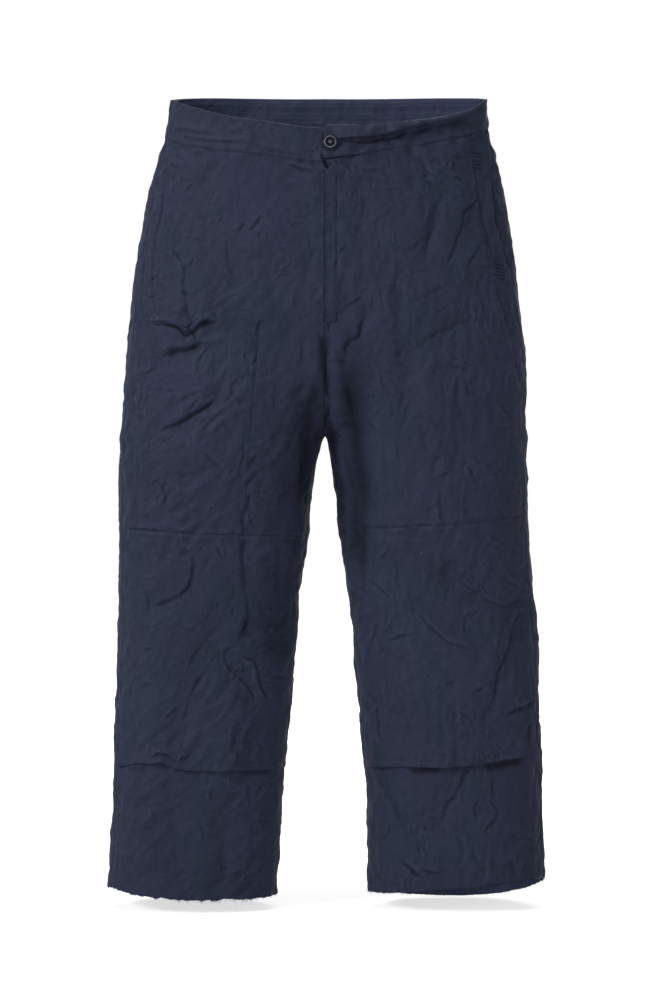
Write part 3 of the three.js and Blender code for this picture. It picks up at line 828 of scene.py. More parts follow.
    press(0.8, 2.6, -206, -804, -198, -818, -202, -834),
    press(0.8, 2.6, -150, -820, -142, -838, -146, -856),
    # below the left knee
    press(1.6, 3.0, 58, -771, 67, -787, 70, -806),
    press(2.0, 5.0, 69, -764, 71, -790, 81, -811, 91, -830, 99, -849, sharp=0.3),
    press(1.4, 2.4, 106, -849, 112, -864),
    press(1.3, 2.4, 111, -851, 122, -865),
    press(3.4, 3.0, 86, -865, 97, -874, 106, -882, 118, -893),
    press(2.0, 2.4, 112, -877, 124, -882, 137, -882),
    press(1.3, 2.8, 75, -823, 72, -837, 65, -846),
    press(1.7, 3.2, 168, -756, 158, -781, 150, -795, 143, -804, 139, -814, 136, -829, ends=0.2),
    press(1.5, 2.6, 181, -794, 175, -804, 176, -815, 180, -827),
    press(1.5, 2.8, 196, -756, 196, -790, 195, -801, 202, -811, 198, -822, 188, -834, 197, -848,
          ends=0.2),
    press(0.8, 5.0, 187, -850, 185, -890, sharp=0.2),
    press(1.5, 2.4, 234, -840, 246, -846),
    press(1.4, 2.4, 246, -850, 252, -831),
    press(1.3, 2.6, 235, -869, 228, -885),
    press(0.8, 6.0, 216, -780, 222, -824, 218, -870, sharp=0.1),
    press(0.8, 2.8, 150, -836, 160, -852, 158, -874),
)

# Painted shade in the cloth's colour along its deepest folds, and painted shadows under the free
# edges laid over the fronts. The first number is the share of light that it loses, or gains
# where below nought.
PAINTED_SHADE_MARKS = (
    shade(0.5, 12.5, 20, -262, 24, -300, 27, -345, 30, -385, 32, -450, 33, -500, 35, -560,
          ends=0.22),
    shade(0.25, 20.0, 36, -230, 38, -300, 44, -370, ends=0.3),
    shade(0.58, 7.0, -10, -290, -17, -352, -20, -399, -26, -470, ends=0.25),
    shade(0.3, 1.3, 0, -58, 0, -110, 0, -190, 0, -330, ends=0.05),
    # Painted light: a lighter line along the thigh pocket's inner edge.
    shade(-0.3, 1.3, -79, -246, -83, -315, -90, -411, ends=0.1),
    shade(0.16, 1.5, 30, -479, 60, -478, 145, -475, 200, -470, 238, -466, ends=0.05),
    shade(0.3, 9.0, 137, -505, 138, -560),
    shade(0.2, 22.0, -62, -500, -60, -560, -64, -660, ends=0.3),
    shade(0.45, 5.0, -92, -585, -93, -600, -90, -612, ends=0.3),
    shade(0.75, 1.5, 194, -66, 196, -89, 199, -103, 201, -121, 204, -133, 209, -155, 214, -178,
          ends=0.15),
    shade(0.15, 1.5, -184, -60, -192, -107, -201, -151, -202, -205, ends=0.2),
    shade(0.6, 3.0, -3, -42, 0, -50, 3, -58, ends=0.2),
    shade(0.8, 1.8, -191, -240, -172, -244, -161, -248, -147, -244, -131, -237, ends=0.1),
    shade(0.45, 2.2, -188, -277, -172, -271, -156, -267, -142, -262, ends=0.25),
    shade(0.35, 1.8, -186, -361, -164, -352, -144, -340, -130, -330, ends=0.25),
)
# Painted shadows under the knee panels' hems and beside the left one's free edge, on the fronts.
SHADOWED = (
    shade(0.4, 3.6, -106, -765, -80, -765, -60, -762, ends=0.3),
    shade(0.4, 2.6, -168, -765, -144, -764, ends=0.25),
    shade(0.3, 2.4, -232, -760, -206, -760, ends=0.2),
    shade(0.6, 4.6, 94, -761, 116, -763, 140, -760, ends=0.25),
    shade(0.7, 5.2, 182, -759, 208, -756, 234, -749, ends=0.2),
    shade(0.75, 3.2, 233, -752, 235, -728, 239, -700, ends=0.2),
)

# The grooves along the knee seams.
SEAM_GROOVES = (
    press(0.25, 1.3, -236, -481, -202, -479, -193, -482, -164, -485, -147, -486, -119, -486,
          -98, -487, -79, -488, -48, -488, -14, -487, ends=0),
    press(0.25, 1.3, 24, -480, 78, -479, 111, -474, 135, -475, 181, -467, 240, -463, ends=0),
)

# Similar creases for the back, plainer than the front's.
BACK_CREASES = (
    press(1.6, 3.0, -30, -96, -70, -112, -96, -140),
    press(1.4, 3.0, 34, -104, 66, -126, 82, -158),
    press(1.5, 2.8, 128, -88, 150, -122, 146, -160, 160, -190),
    press(1.5, 2.8, -150, -72, -138, -110, -152, -150, -140, -178),
    press(2.2, 3.6, 10, -262, 40, -292, 88, -330, 118, -338, ends=0.25),
    press(2.2, 3.6, -12, -254, -46, -300, -92, -342, -126, -346, ends=0.25),
    press(2.6, 3.0, 6, -330, 34, -352, 70, -366, 110, -362, ends=0.2),
    press(2.6, 3.0, -8, -336, -38, -358, -82, -378, -118, -370, ends=0.2),
    press(1.5, 2.8, 34, -410, 64, -420, 92, -412),
    press(1.5, 2.8, -36, -418, -72, -430, -98, -420),
    press(1.2, 7.0, 160, -240, 152, -320, 160, -400, sharp=0.1),
    press(1.2, 7.0, -168, -236, -158, -310, -166, -392, sharp=0.1),
    press(2.6, 3.4, -206, -500, -170, -522, -130, -530, -84, -518, ends=0.2),
    press(2.4, 3.2, -62, -548, -104, -560, -146, -552, -182, -566, ends=0.2),
    press(2.0, 3.0, -190, -596, -154, -610, -112, -600, -76, -614),
    press(2.6, 3.4, 210, -492, 176, -512, 134, -520, 88, -508, ends=0.2),
    press(2.4, 3.2, 60, -540, 100, -556, 142, -546, 186, -560, ends=0.2),
    press(2.0, 3.0, 196, -590, 158, -604, 120, -592, 80, -608),
    press(1.4, 2.8, -130, -640, -146, -676, -138, -720),
    press(1.4, 2.8, 128, -636, 146, -668, 140, -712),
    press(1.6, 3.0, -200, -742, -176, -760, -168, -790),
    press(1.6, 3.0, 204, -730, 180, -752, 172, -784),
    press(1.4, 3.0, -86, -760, -104, -786, -98, -822),
    press(1.4, 3.0, 84, -748, 106, -776, 98, -812),
    press(1.0, 6.0, -150, -820, -154, -900, sharp=0.1),
    press(1.0, 6.0, 146, -816, 150, -904, sharp=0.1),
    press(1.2, 2.6, -212, -640, -190, -652),
    press(1.2, 2.6, 214, -628, 192, -642),
    press(1.2, 2.6, 70, -196, 98, -190, 120, -204),
    press(1.2, 2.6, -74, -190, -100, -198, -122, -188),
)


# Where the cloth is crumpled more or less than elsewhere: place, reach across and up, gain.
BUSY = (
    (-105, -120, 80, 90, -0.55), (-140, -560, 80, 70, -0.5), (150, -330, 90, 130, 0.2),
    (-165, -340, 60, 110, 0.9), (150, -850, 90, 60, 0.25), (140, -580, 80, 60, -0.2),
)

FRONT_HAIRLINES = hairlines(3, 95)
BACK_HAIRLINES = hairlines(8, 60, 1.5)


@dataclass
class Relief:
    """All that lifts and presses the cloth away from the smooth form.

    Attributes:
        folds: Share of the main folds' depth.
        swell: Height of the soft rise and fall.
        crush: Height of the sharp crumple between the drawn creases.
        fine: Height of the small crumple.
        edge: Height of the waves down the sides.
        strength: Share of the drawn creases' depth.
    """

    folds: float = 0.8
    swell: float = 1.5
    crush: float = 2.5
    fine: float = 1.1
    edge: float = 1.3
    strength: float = 1.55
    grains: tuple[Grain, ...] = field(default_factory=lambda: tuple(map(Grain, range(8))))

    def crumple(self, points: Array) -> Array:
        """Crumple at points of space.

        Valleys lie where one noise is nought and ridges where another is: the noise's size,
        a little rounded there, is the height. More noise bends the lines and says how
        strongly each region is crumpled.

        Args:
            points: The points.

        Returns:
            Millimetres outwards.
        """
        soft, warp_x, warp_z, where = self.grains[:4]
        rise = self.swell * soft.at(points, (52, 52, 88))
        warp = np.stack([warp_x.at(points, 60), 0 * rise, warp_z.at(points, 60)], -1)
        bent = points + 11 * warp
        busy = 1 + sum(
            gain * hill(points[..., 0], x, wide) * hill(points[..., 2], z, tall)
            for x, z, wide, tall, gain in BUSY
        )
        amount = busy * (0.35 + 0.65 * smoothstep(where.at(points, 85), -0.35, 0.4))
        patchy = busy * (0.3 + 0.7 * smoothstep(where.at(points, 47), -0.2, 0.5))
        left = smoothstep(points[..., 0], -30, 30)
        for share, turn in ((1 - left, 0.85), (left, 1.42)):
            if share.any():
                folds, small = self.slanted(bent, turn)
                rise = rise + share * (self.crush * amount * folds + self.fine * patchy * small)
        return rise

    def slanted(self, points: Array, turn: float) -> tuple[Array, Array]:
        """Wide and small crumple whose creases run at one slope across the front.

        Args:
            points: Points of space.
            turn: The slope's angle from level.

        Returns:
            The wide and the small one, in parts of their height.
        """
        first, second, third, fourth = self.grains[4:]
        along = points[..., 0] * np.cos(turn) + points[..., 2] * np.sin(turn)
        over = points[..., 2] * np.cos(turn) - points[..., 0] * np.sin(turn)
        turned = np.stack([over, points[..., 1], along], -1)
        folds = np.hypot(first.at(turned, (23, 30, 40)), 0.02)
        folds = folds - np.hypot(second.at(turned, (19, 26, 34)), 0.02)
        small = np.hypot(third.at(turned, (10.5, 13, 17)), 0.04)
        return folds, small - np.hypot(fourth.at(turned, (9.5, 12, 15)), 0.04)

    def height(self, points: Array, normals: Array) -> Array:
        """How far the cloth stands out from the form.

        The drawn creases and folds fade where the cloth turns side on.

        Args:
            points: Points of the form.
            normals: Outward directions there.

        Returns:
            Millimetres outwards.
        """
        result = self.crumple(points) * (1 - 0.3 * smoothstep(normals[..., 1], -0.2, 0.6))
        facing = smoothstep(np.abs(normals[..., 1]), 0, 0.3)
        rough = self.grains[5].at(points, (26, 26, 24)) + 0.6 * self.grains[6].at(points, 10)
        result = result + self.edge * (1 - smoothstep(np.abs(normals[..., 1]), 0, 0.6)) * rough
        for front, folds, creases in (
            (True, FRONT_FOLDS, FRONT_CREASES + SEAM_GROOVES + FRONT_HAIRLINES),
            (False, BACK_FOLDS, BACK_CREASES + BACK_HAIRLINES),
        ):
            weight = facing * ((normals[..., 1] < 0) == front)
            if not weight.any():
                continue
            x, z = points[..., 0], points[..., 2]
            drawn = np.zeros(x.shape)
            for x0, z0, x1, z1, width, depth in folds:
                way = np.array([x1 - x0, z1 - z0], float)
                share = ((x - x0) * way[0] + (z - z0) * way[1]) / (way @ way)
                share = np.clip(share, 0, 1)
                far = np.hypot(x - x0 - share * way[0], z - z0 - share * way[1])
                drawn -= self.folds * depth * hill(far, 0, width)
            u, v = Elevation(front=front).flatten(points)
            numbers = np.random.default_rng(11)
            for crease in creases:
                drawn += self.strength * crease.height(u, v, numbers)
            result = result + weight * drawn
        return result


RELIEF = Relief()


# ---------------------------------------------------------------- meshes
def lattice(rows: int, columns: int, closed: bool = False) -> Array:
    """The four corners of each face of a grid.

    Args:
        rows: Points down the grid.
        columns: Points across it.
        closed: Whether the last row joins the first.

    Returns:
        An array of four point numbers for each face.
    """
    index = np.arange(rows * columns).reshape(rows, columns)
    if closed:
        index = np.concatenate([index, index[:1]])
    a, b = index[:-1, :-1], index[1:, :-1]
    c, d = index[1:, 1:], index[:-1, 1:]
    return np.stack([a, b, c, d], -1).reshape(-1, 4)


def faces_out(points: Array, faces: Array, normals: Array) -> Array:
    """Turn all the faces round if most of them face away from the given directions.

    Args:
        points: Points of the faces.
        faces: Point numbers of each face.
        normals: The direction at each point.

    Returns:
        The faces, turned round or as they were.
    """
    p = points.reshape(-1, 3)
    cross = np.cross(p[faces[:, 2]] - p[faces[:, 0]], p[faces[:, 3]] - p[faces[:, 1]])
    agree = np.sum(cross * normals.reshape(-1, 3)[faces[:, 0]])
    return faces if agree > 0 else faces[:, ::-1]


def walled(outer: Array, normals: Array, height: Array, wall: float,
           ) -> tuple[Array, list[list[int]], int]:
    """Close a fine face with a coarser one behind it.

    The face behind lies a wall's thickness under the lowest cloth near each of its points,
    so that no crease comes through it. Each step of the rim between them is one face.

    Args:
        outer: Points of the fine face.
        normals: Outward directions there.
        height: How far the points stand out from the form.
        wall: The cloth's thickness.

    Returns:
        All the points, all the faces, and how many faces at the end make the rim.
    """
    low = height
    for axis in (0, 1):
        margins = [(COARSE, COARSE) if k == axis else (0, 0) for k in (0, 1)]
        padded = np.pad(low, margins, mode="edge")
        low = np.lib.stride_tricks.sliding_window_view(padded, 2 * COARSE + 1, axis).min(-1)
    inner = (outer - normals * (height - low + wall)[..., None])[::COARSE, ::COARSE]
    front = np.arange(height.size).reshape(height.shape)
    back = np.arange(inner[..., 0].size).reshape(inner.shape[:2]) + height.size
    faces = [lattice(*front.shape), lattice(*back.shape)[:, ::-1] + height.size]
    rim = []
    for near, far in (
        (front[0], back[0]), (front[:, -1], back[:, -1]),
        (front[-1, ::-1], back[-1, ::-1]), (front[::-1, 0], back[::-1, 0]),
    ):
        steps = np.arange(len(far) - 1)[:, None] * COARSE + np.arange(COARSE + 1)
        rim.append(np.concatenate([near[steps], far[1:, None], far[:-1, None]], 1))
    flip = faces_out(outer, faces[0], normals)[0, 0] != faces[0][0, 0]
    order = slice(None, None, -1 if flip else 1)
    every = [face for group in faces + rim for face in group[:, order].tolist()]
    points = np.concatenate([outer.reshape(-1, 3), inner.reshape(-1, 3)])
    return points, every, sum(map(len, rim))


def make_object(name: str, points: Array, faces: Iterable, flat: int = 0,
                **layers: Array) -> bpy.types.Object:
    """Make an object of points in millimetres.

    Args:
        name: The piece's name.
        points: Points on the last axis.
        faces: Point numbers of each face.
        flat: How many of the last faces are shaded flat.
        layers: ``uv``, two numbers for each point, and any other layer, one number each.

    Returns:
        The object, linked to the scene and shaded smooth.
    """
    mesh = bpy.data.meshes.new(name)
    faces = faces.tolist() if isinstance(faces, np.ndarray) else list(faces)
    mesh.from_pydata((points.reshape(-1, 3) * MM).tolist(), [], faces)
    mesh.polygons.foreach_set("use_smooth", np.arange(len(faces)) < len(faces) - flat)
    corners = np.empty(len(mesh.loops), int)
    mesh.loops.foreach_get("vertex_index", corners)
    for layer, values in layers.items():
        if layer == "uv":
            uv = values.reshape(-1, 2)[corners] * MM
            mesh.uv_layers.new(name="cloth").data.foreach_set("uv", uv.ravel())
        else:
            attribute = mesh.attributes.new(layer, "FLOAT", "POINT")
            attribute.data.foreach_set("value", values.ravel().astype(np.float32))
    mesh.update()
    piece = bpy.data.objects.new(name, mesh)
    bpy.context.collection.objects.link(piece)
    return piece


class Edge(Enum):
    """The four edges of a sheet."""

    TOP = "top"
    BOTTOM = "bottom"
    START = "start"
    END = "end"


@dataclass
class Sheet:
    """The outer face of one piece of cloth, as a grid that can be sewn on."""

    points: Array
    down: Array = field(init=False)
    across: Array = field(init=False)
    normals: Array = field(init=False)
    outward: Array | None = None

    def __post_init__(self) -> None:
        """Work out the lengths along the grid and the directions that it faces."""
        self.down = arc(self.points, 0)
        self.across = arc(self.points, 1)
        normal = unit(np.cross(np.gradient(self.points, axis=1), np.gradient(self.points, axis=0)))
        if self.outward is not None and np.sum(normal * self.outward) < 0:
            normal = -normal
        self.normals = normal

    def sample(self, rows: Array, columns: Array) -> tuple[Array, Array]:
        """Points and directions at places of the grid, evenly mixed from the four nearest.

        Args:
            rows: Places down the grid, in rows.
            columns: Places across it, in columns.

        Returns:
            The points and the cloth's directions there.
        """
        r = np.clip(rows, 0, self.points.shape[0] - 1.001)
        c = np.clip(columns, 0, self.points.shape[1] - 1.001)
        i, j = r.astype(int), c.astype(int)
        s, t = (r - i)[:, None], (c - j)[:, None]

        def mix(grid: Array) -> Array:
            """Mix one grid's values."""
            top = grid[i, j] * (1 - t) + grid[i, j + 1] * t
            low = grid[i + 1, j] * (1 - t) + grid[i + 1, j + 1] * t
            return top * (1 - s) + low * s

        return mix(self.points), unit(mix(self.normals))

    def beside(self, edge: Edge, inset: float, first: float = 0.0, last: float = 1.0,
               ) -> tuple[Array, Array]:
        """A line at a distance from an edge.

        Args:
            edge: The edge that it follows.
            inset: Its distance from the edge along the cloth.
            first: Share of the edge's length where it starts.
            last: Share where it ends.

        Returns:
            Its points and the cloth's directions there.
        """
        level = edge in (Edge.TOP, Edge.BOTTOM)
        lengths = self.down if level else self.across.T
        if edge in (Edge.BOTTOM, Edge.END):
            inset = lengths[-1] - inset
        inset = np.broadcast_to(inset, lengths.shape[1:])
        count = np.arange(lengths.shape[0])
        place = np.array([np.interp(d, line, count) for d, line in zip(inset, lengths.T)])
        other = np.arange(len(place), dtype=float)
        share = other / other[-1]
        keep = (share >= first) & (share <= last)
        return self.sample(place[keep], other[keep]) if level else \
            self.sample(other[keep], place[keep])

    def drawn(self, path: Path, spacing: int = 6) -> tuple[Array, Array]:
        """The places of the cloth that a line on the front elevation crosses.

        Args:
            path: The line's corners on the elevation.
            spacing: Steps between each pair of them.

        Returns:
            Its points on the cloth and the cloth's directions there.
        """
        u, v = Elevation().flatten(self.points)
        line = spline(np.asarray(path, float), spacing)
        flat = np.stack([u, v], -1).reshape(-1, 2)
        best = np.array([np.argmin(np.sum((flat - spot) ** 2, axis=1)) for spot in line])
        rows, columns = np.divmod(best, u.shape[1])
        points, normals = self.sample(rows.astype(float), columns.astype(float))
        gap = line - flat[best]
        points[:, 0] += gap[:, 0]
        points[:, 2] += gap[:, 1]
        return points, normals


# ---------------------------------------------------------------- shader maths
class Num:
    """A number that a node gives, on which Python's signs add Math nodes."""

    def __init__(self, graph: "Graph", socket: bpy.types.NodeSocket) -> None:
        """Wrap a socket of a graph."""
        self.graph = graph
        self.socket = socket

    def _with(self, operation: str, other: object) -> "Num":
        """Add a Math node."""
        inputs = {0: self, 1: other}
        return self.graph.node("ShaderNodeMath", {"operation": operation}, inputs).num()

    def __add__(self, other: object) -> "Num":
        """Sum."""
        return self._with("ADD", other)

    __radd__ = __add__

    def __sub__(self, other: object) -> "Num":
        """Difference."""
        return self._with("SUBTRACT", other)

    def __mul__(self, other: object) -> "Num":
        """Product."""
        return self._with("MULTIPLY", other)


class Made:
    """A node that was added, whose outputs can be taken."""

    def __init__(self, graph: "Graph", node: bpy.types.Node) -> None:
        """Wrap a node of a graph."""
        self.graph = graph
        self.node = node

    def out(self, name: str | int = 0) -> bpy.types.NodeSocket:
        """One of its output sockets."""
        return self.node.outputs[name]

    def num(self, name: str | int = 0) -> Num:
        """One of its outputs as a number."""
        return Num(self.graph, self.out(name))


class Graph:
    """The nodes of one material or of the room round about."""

    def __init__(self, owner: bpy.types.Material | bpy.types.World) -> None:
        """Start with no nodes.

        Args:
            owner: What the nodes belong to.
        """
        self.owner = owner
        owner.use_nodes = True
        self.tree = owner.node_tree
        self.tree.nodes.clear()

    def node(self, kind: str, settings: dict | None = None, inputs: dict | None = None) -> Made:
        """Add a node.

        Args:
            kind: Its type.
            settings: What is set on the node itself; ``stops`` are a ramp's.
            inputs: Numbers, colours or links for its sockets, by name or number.

        Returns:
            The node.
        """
        made = self.tree.nodes.new(kind)
        for name, value in (settings or {}).items():
            if name == "stops":
                ramp = made.color_ramp
                for i, (at, colour) in enumerate(value):
                    stop = ramp.elements[i] if i < 2 else ramp.elements.new(at)
                    stop.position, stop.color = at, (*colour, 1)
            else:
                setattr(made, name, value)
        for name, value in (inputs or {}).items():
            socket = made.inputs[name]
            if isinstance(value, Num):
                value = value.socket
            if isinstance(value, bpy.types.NodeSocket):
                self.tree.links.new(value, socket)
            elif isinstance(value, tuple) and len(value) == 3 and socket.type == "RGBA":
                socket.default_value = (*value, 1)
            else:
                socket.default_value = value
        return Made(self, made)

    def place(self) -> bpy.types.NodeSocket:
        """Coordinates on the piece, in metres."""
        return self.node("ShaderNodeTexCoord").out("Object")

    def held(self, name: str) -> Num:
        """A number that the mesh holds for each of its points."""
        return self.node("ShaderNodeAttribute", {"attribute_name": name}).num("Fac")

    def noise(self, where: object, scale: float, detail: float = 2.0, rough: float = 0.5) -> Num:
        """Noise of 0 to 1 with so many cells a metre.

        Args:
            where: Coordinates.
            scale: Cells a metre.
            detail: Number of finer layers.
            rough: How strong they are.

        Returns:
            The noise.
        """
        return self.node("ShaderNodeTexNoise", {}, {
            "Vector": where, "Scale": scale, "Detail": detail, "Roughness": rough,
        }).num("Fac")

    def cells(self, where: object, scale: float) -> Num:
        """Distance from the nearest of scattered points, which rises to sharp edges.

        Args:
            where: Coordinates.
            scale: Points a metre.

        Returns:
            The distance.
        """
        return self.node("ShaderNodeTexVoronoi", {"feature": "F1"}, {
            "Vector": where, "Scale": scale,
        }).num("Distance")

    def ease(self, value: Num, low: float, high: float) -> Num:
        """Ease from nought at low to one at high.

        Args:
            value: What is eased.
            low: Where it starts.
            high: Where it ends.

        Returns:
            The eased number.
        """
        return self.node("ShaderNodeMapRange", {"interpolation_type": "SMOOTHSTEP"}, {
            "Value": value, "From Min": low, "From Max": high,
        }).num()

    def stretch(self, where: object, scale: tuple[float, float, float],
                turn: float = 0.0) -> bpy.types.NodeSocket:
        """Coordinates scaled apart along their axes.

        Args:
            where: Coordinates.
            scale: What each axis is multiplied by.
            turn: Angle about the third axis.

        Returns:
            The new coordinates.
        """
        return self.node("ShaderNodeMapping", {}, {
            "Vector": where, "Scale": scale, "Rotation": (0, 0, turn),
        }).out()

    def mix(self, factor: object, first: object, second: object) -> bpy.types.NodeSocket:
        """Mix two colours.

        Args:
            factor: Share of the second.
            first: One colour.
            second: The other.

        Returns:
            The mixed colour.
        """
        return self.node("ShaderNodeMix", {"data_type": "RGBA"}, {
            0: factor, 6: first, 7: second,
        }).out(2)

    def bump(self, height: Num, distance: float, strength: float,
             normal: object = None) -> bpy.types.NodeSocket:
        """A bump of so many metres at full height.

        Args:
            height: Height from nought to one.
            distance: Metres at full height.
            strength: How strongly it shades.
            normal: A direction to start from.

        Returns:
            The direction that the bump gives.
        """
        inputs = {"Height": height, "Distance": distance, "Strength": strength}
        if normal is not None:
            inputs["Normal"] = normal
        return self.node("ShaderNodeBump", {}, inputs).out()

    def finish(self, **inputs: object) -> bpy.types.Material:
        """Close the graph with a Principled shader, whose sockets are named with underlines.

        Args:
            inputs: Numbers, colours or links for the shader.

        Returns:
            The material.
        """
        shader = self.node("ShaderNodeBsdfPrincipled", {}, {
            name.replace("_", " "): value for name, value in inputs.items()
        })
        self.node("ShaderNodeOutputMaterial", {}, {"Surface": shader.out()})
        return self.owner


@dataclass(frozen=True)
class ClothFinish:
    """A crisp plain-woven shell cloth.

    Attributes:
        name: The material's name.
        colour: Its mean colour, as the share of light that it gives back.
        contrast: How far the colour varies.
        wrinkle: Height of the smallest crumple, metres.
        yarn: Height of the weave, metres.
        threads: Yarns in a metre of the cloth, both ways.
        slubs: Uneven places in a metre of the warp's and of the weft's yarns.
        cells: Wide and close crumples in a metre.
    """

    name: str
    colour: tuple[float, float, float] = (0.0199, 0.0241, 0.0455)
    contrast: float = 0.30
    wrinkle: float = 0.0042
    yarn: float = 0.00016
    threads: float = 1100.0
    slubs: tuple[float, float] = (90.0, 80.0)
    cells: tuple[float, float] = (24.0, 62.0)

    def material(self) -> bpy.types.Material:
        """Build the material: slubs and flecks of the yarns, crumple, and painted fold shading.

        Returns:
            The material.
        """
        g = Graph(bpy.data.materials.new(self.name))
        place = g.place()
        cloth = g.node("ShaderNodeUVMap", {"uv_map": "cloth"}).out()
        # Painted shade in the creases and painted highlight on the ridges, held by the mesh.
        worn = g.held("worn")
        inside = g.held("inside")
        warp = g.noise(g.stretch(cloth, (self.threads, self.slubs[0], 1.0)), 1.0, 2.0)
        weft = g.noise(g.stretch(cloth, (self.slubs[1], self.threads, 1.0)), 1.0, 2.0)
        fleck = g.noise(place, 520.0, 2.0)
        patch = g.noise(place, 11.0, 3.0)
        tone = (0.5 + (warp - 0.5) * 0.55 + (weft - 0.5) * 0.55 + (fleck - 0.5) * 0.5
                + (patch - 0.5) * 0.5 + worn * 0.5)
        hue = g.ease(g.noise(g.stretch(place, (1.0, 1.0, 0.5)), 17.0, 3.0), 0.35, 0.65)
        violet = tuple(c * k for c, k in zip(self.colour, (1.03, 0.98, 1.01)))
        teal = tuple(c * k for c, k in zip(self.colour, (0.95, 1.02, 0.98)))
        shift = g.node("ShaderNodeTexNoise", {}, {
            "Vector": place, "Scale": self.cells[0], "Detail": 3.0,
        }).out("Color")
        bent = g.node("ShaderNodeVectorMath", {"operation": "MULTIPLY_ADD"}, {
            0: shift, 1: (0.045, 0.045, 0.045), 2: place,
        }).out()
        wide = g.cells(g.stretch(bent, (1.0, 1.0, 0.75)), self.cells[0])
        close = g.cells(g.stretch(bent, (1.0, 1.0, 0.8)), self.cells[1])
        strong = g.ease(g.noise(place, 14.0, 2.0), 0.38, 0.62)
        often = g.ease(g.noise(g.stretch(place, (1.0, 1.0, 0.6)), 26.0, 2.0), 0.42, 0.62)
        small = g.noise(place, 150.0, 4.0, 0.6)
        height = wide * strong * 0.6 + close * often * 0.4 + small * 0.16
        normal = g.bump(height, self.wrinkle, 1.0)
        normal = g.bump(warp + weft, self.yarn, 0.5, normal)
        spread = g.ease(tone, 0.0, 1.0) * (2 * self.contrast) + (1 - self.contrast)
        # The 'inside' layer scales the colour: a lighter reverse, partly painted light on the
        # shaded insides, and painted shade on the face.
        colour = g.node("ShaderNodeVectorMath", {"operation": "SCALE"}, {
            0: g.mix(hue, violet, teal), "Scale": spread * (inside * 1.3 + 1.0),
        }).out()
        return g.finish(
            Base_Color=colour,
            Roughness=0.66 + (patch - 0.5) * 0.12,
            Specular_IOR_Level=0.07,
            Sheen_Weight=0.04,
            Sheen_Roughness=0.55,
            Sheen_Tint=(0.62, 0.68, 0.9),
            Normal=normal,
        )


@dataclass(frozen=True)
class ThreadFinish:
    """Spun sewing thread."""

    name: str
    colour: tuple[float, float, float] = (0.0125, 0.0165, 0.031)
    rough: float = 0.6

    def material(self) -> bpy.types.Material:
        """Build the material: the thread's twist as a fine streak.

        Returns:
            The material.
        """
        g = Graph(bpy.data.materials.new(self.name))
        place = g.place()
        twist = g.noise(place, 1500.0, 1.0)
        dark = tuple(c * 0.7 for c in self.colour)
        light = tuple(c * 1.3 for c in self.colour)
        return g.finish(
            Base_Color=g.mix(twist, dark, light),
            Roughness=self.rough + (twist - 0.5) * 0.2,
            Specular_IOR_Level=0.1,
        )


@dataclass(frozen=True)
class ButtonFinish:
    """Dark lacquered metal, with a painted highlight ring and spot."""

    name: str = "dark button metal"
    colour: tuple[float, float, float] = (0.004, 0.005, 0.008)
    bare: tuple[float, float, float] = (0.24, 0.26, 0.33)

    def material(self) -> bpy.types.Material:
        """Build the material: lacquer with fine scuffs, and paler painted highlights.

        Returns:
            The material.
        """
        g = Graph(bpy.data.materials.new(self.name))
        place = g.place()
        worn = g.held("worn")
        scuff = g.noise(place, 900.0, 4.0, 0.7)
        lacquer = g.mix(scuff, self.colour, tuple(c * 2.4 for c in self.colour))
        return g.finish(
            # Painted highlight: the rim's ridge and the middle spot are mixed towards the paler
            # colour.
            Base_Color=g.mix(worn * (scuff + 0.5), lacquer, self.bare),
            Roughness=0.32 + scuff * 0.2,
            Specular_IOR_Level=0.1,
            Coat_Weight=0.15,
            Coat_Roughness=0.2,
        )


@dataclass(frozen=True)
class FloorFinish:
    """A white studio floor."""

    name: str = "white floor"

    def material(self) -> bpy.types.Material:
        """Build the material: matt white paper with a glow that keeps it white.

        Returns:
            The material.
        """
        g = Graph(bpy.data.materials.new(self.name))
        place = g.place()
        tone = g.noise(place, 3.0, 2.0)
        far = g.node("ShaderNodeVectorMath", {"operation": "LENGTH"}, {0: place}).num("Value")
        return g.finish(
            Base_Color=g.mix(tone, (0.80, 0.80, 0.80), (0.84, 0.84, 0.84)),
            Roughness=1.0,
            Specular_IOR_Level=0.0,
            Emission_Color=g.mix(g.ease(far, 1.0, 2.2), (0.62, 0.62, 0.62), (1.1, 1.1, 1.1)),
            Emission_Strength=1.0,
        )


class Wardrobe:
    """The materials, each made once."""

    def __init__(self) -> None:
        """Make them."""
        self.shell = ClothFinish("navy shell cloth").material()
        self.band = ClothFinish("navy band cloth", colour=(0.0206, 0.0248, 0.0457)).material()
        self.thread = ThreadFinish("navy thread").material()
        self.lint = ThreadFinish("pale fibre", colour=(0.34, 0.35, 0.38), rough=0.8).material()
        self.pale = ThreadFinish("pale thread", colour=(0.10, 0.10, 0.11), rough=0.8).material()
        self.metal = ButtonFinish().material()


# ---------------------------------------------------------------- pieces
class Slot(Enum):
    """The record's material slots."""

    SHELL = "shell_cloth"
    BAND = "band_cloth"
    METAL = "button_metal"


def cloth_area(points: Array) -> float:
    """Area of a grid in square metres: half the length of the cross of each face's diagonals."""
    first, second = points[1:, 1:] - points[:-1, :-1], points[1:, :-1] - points[:-1, 1:]
    return float(np.linalg.norm(np.cross(first, second), axis=-1).sum()) / 2 * MM * MM


def place_piece(piece: bpy.types.Object, material: bpy.types.Material,
                node: str | None = None) -> bpy.types.Object:
    """Give a piece its material, its body and the solid it stands for.

    Args:
        piece: The object.
        material: Its material.
        node: The CAD node that it replaces, if any.

    Returns:
        The same object.
    """
    piece.data.materials.append(material)
    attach(piece, "root")
    if node:
        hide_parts(node)
    log.info("%s: %d points", piece.name, len(piece.data.vertices))
    return piece


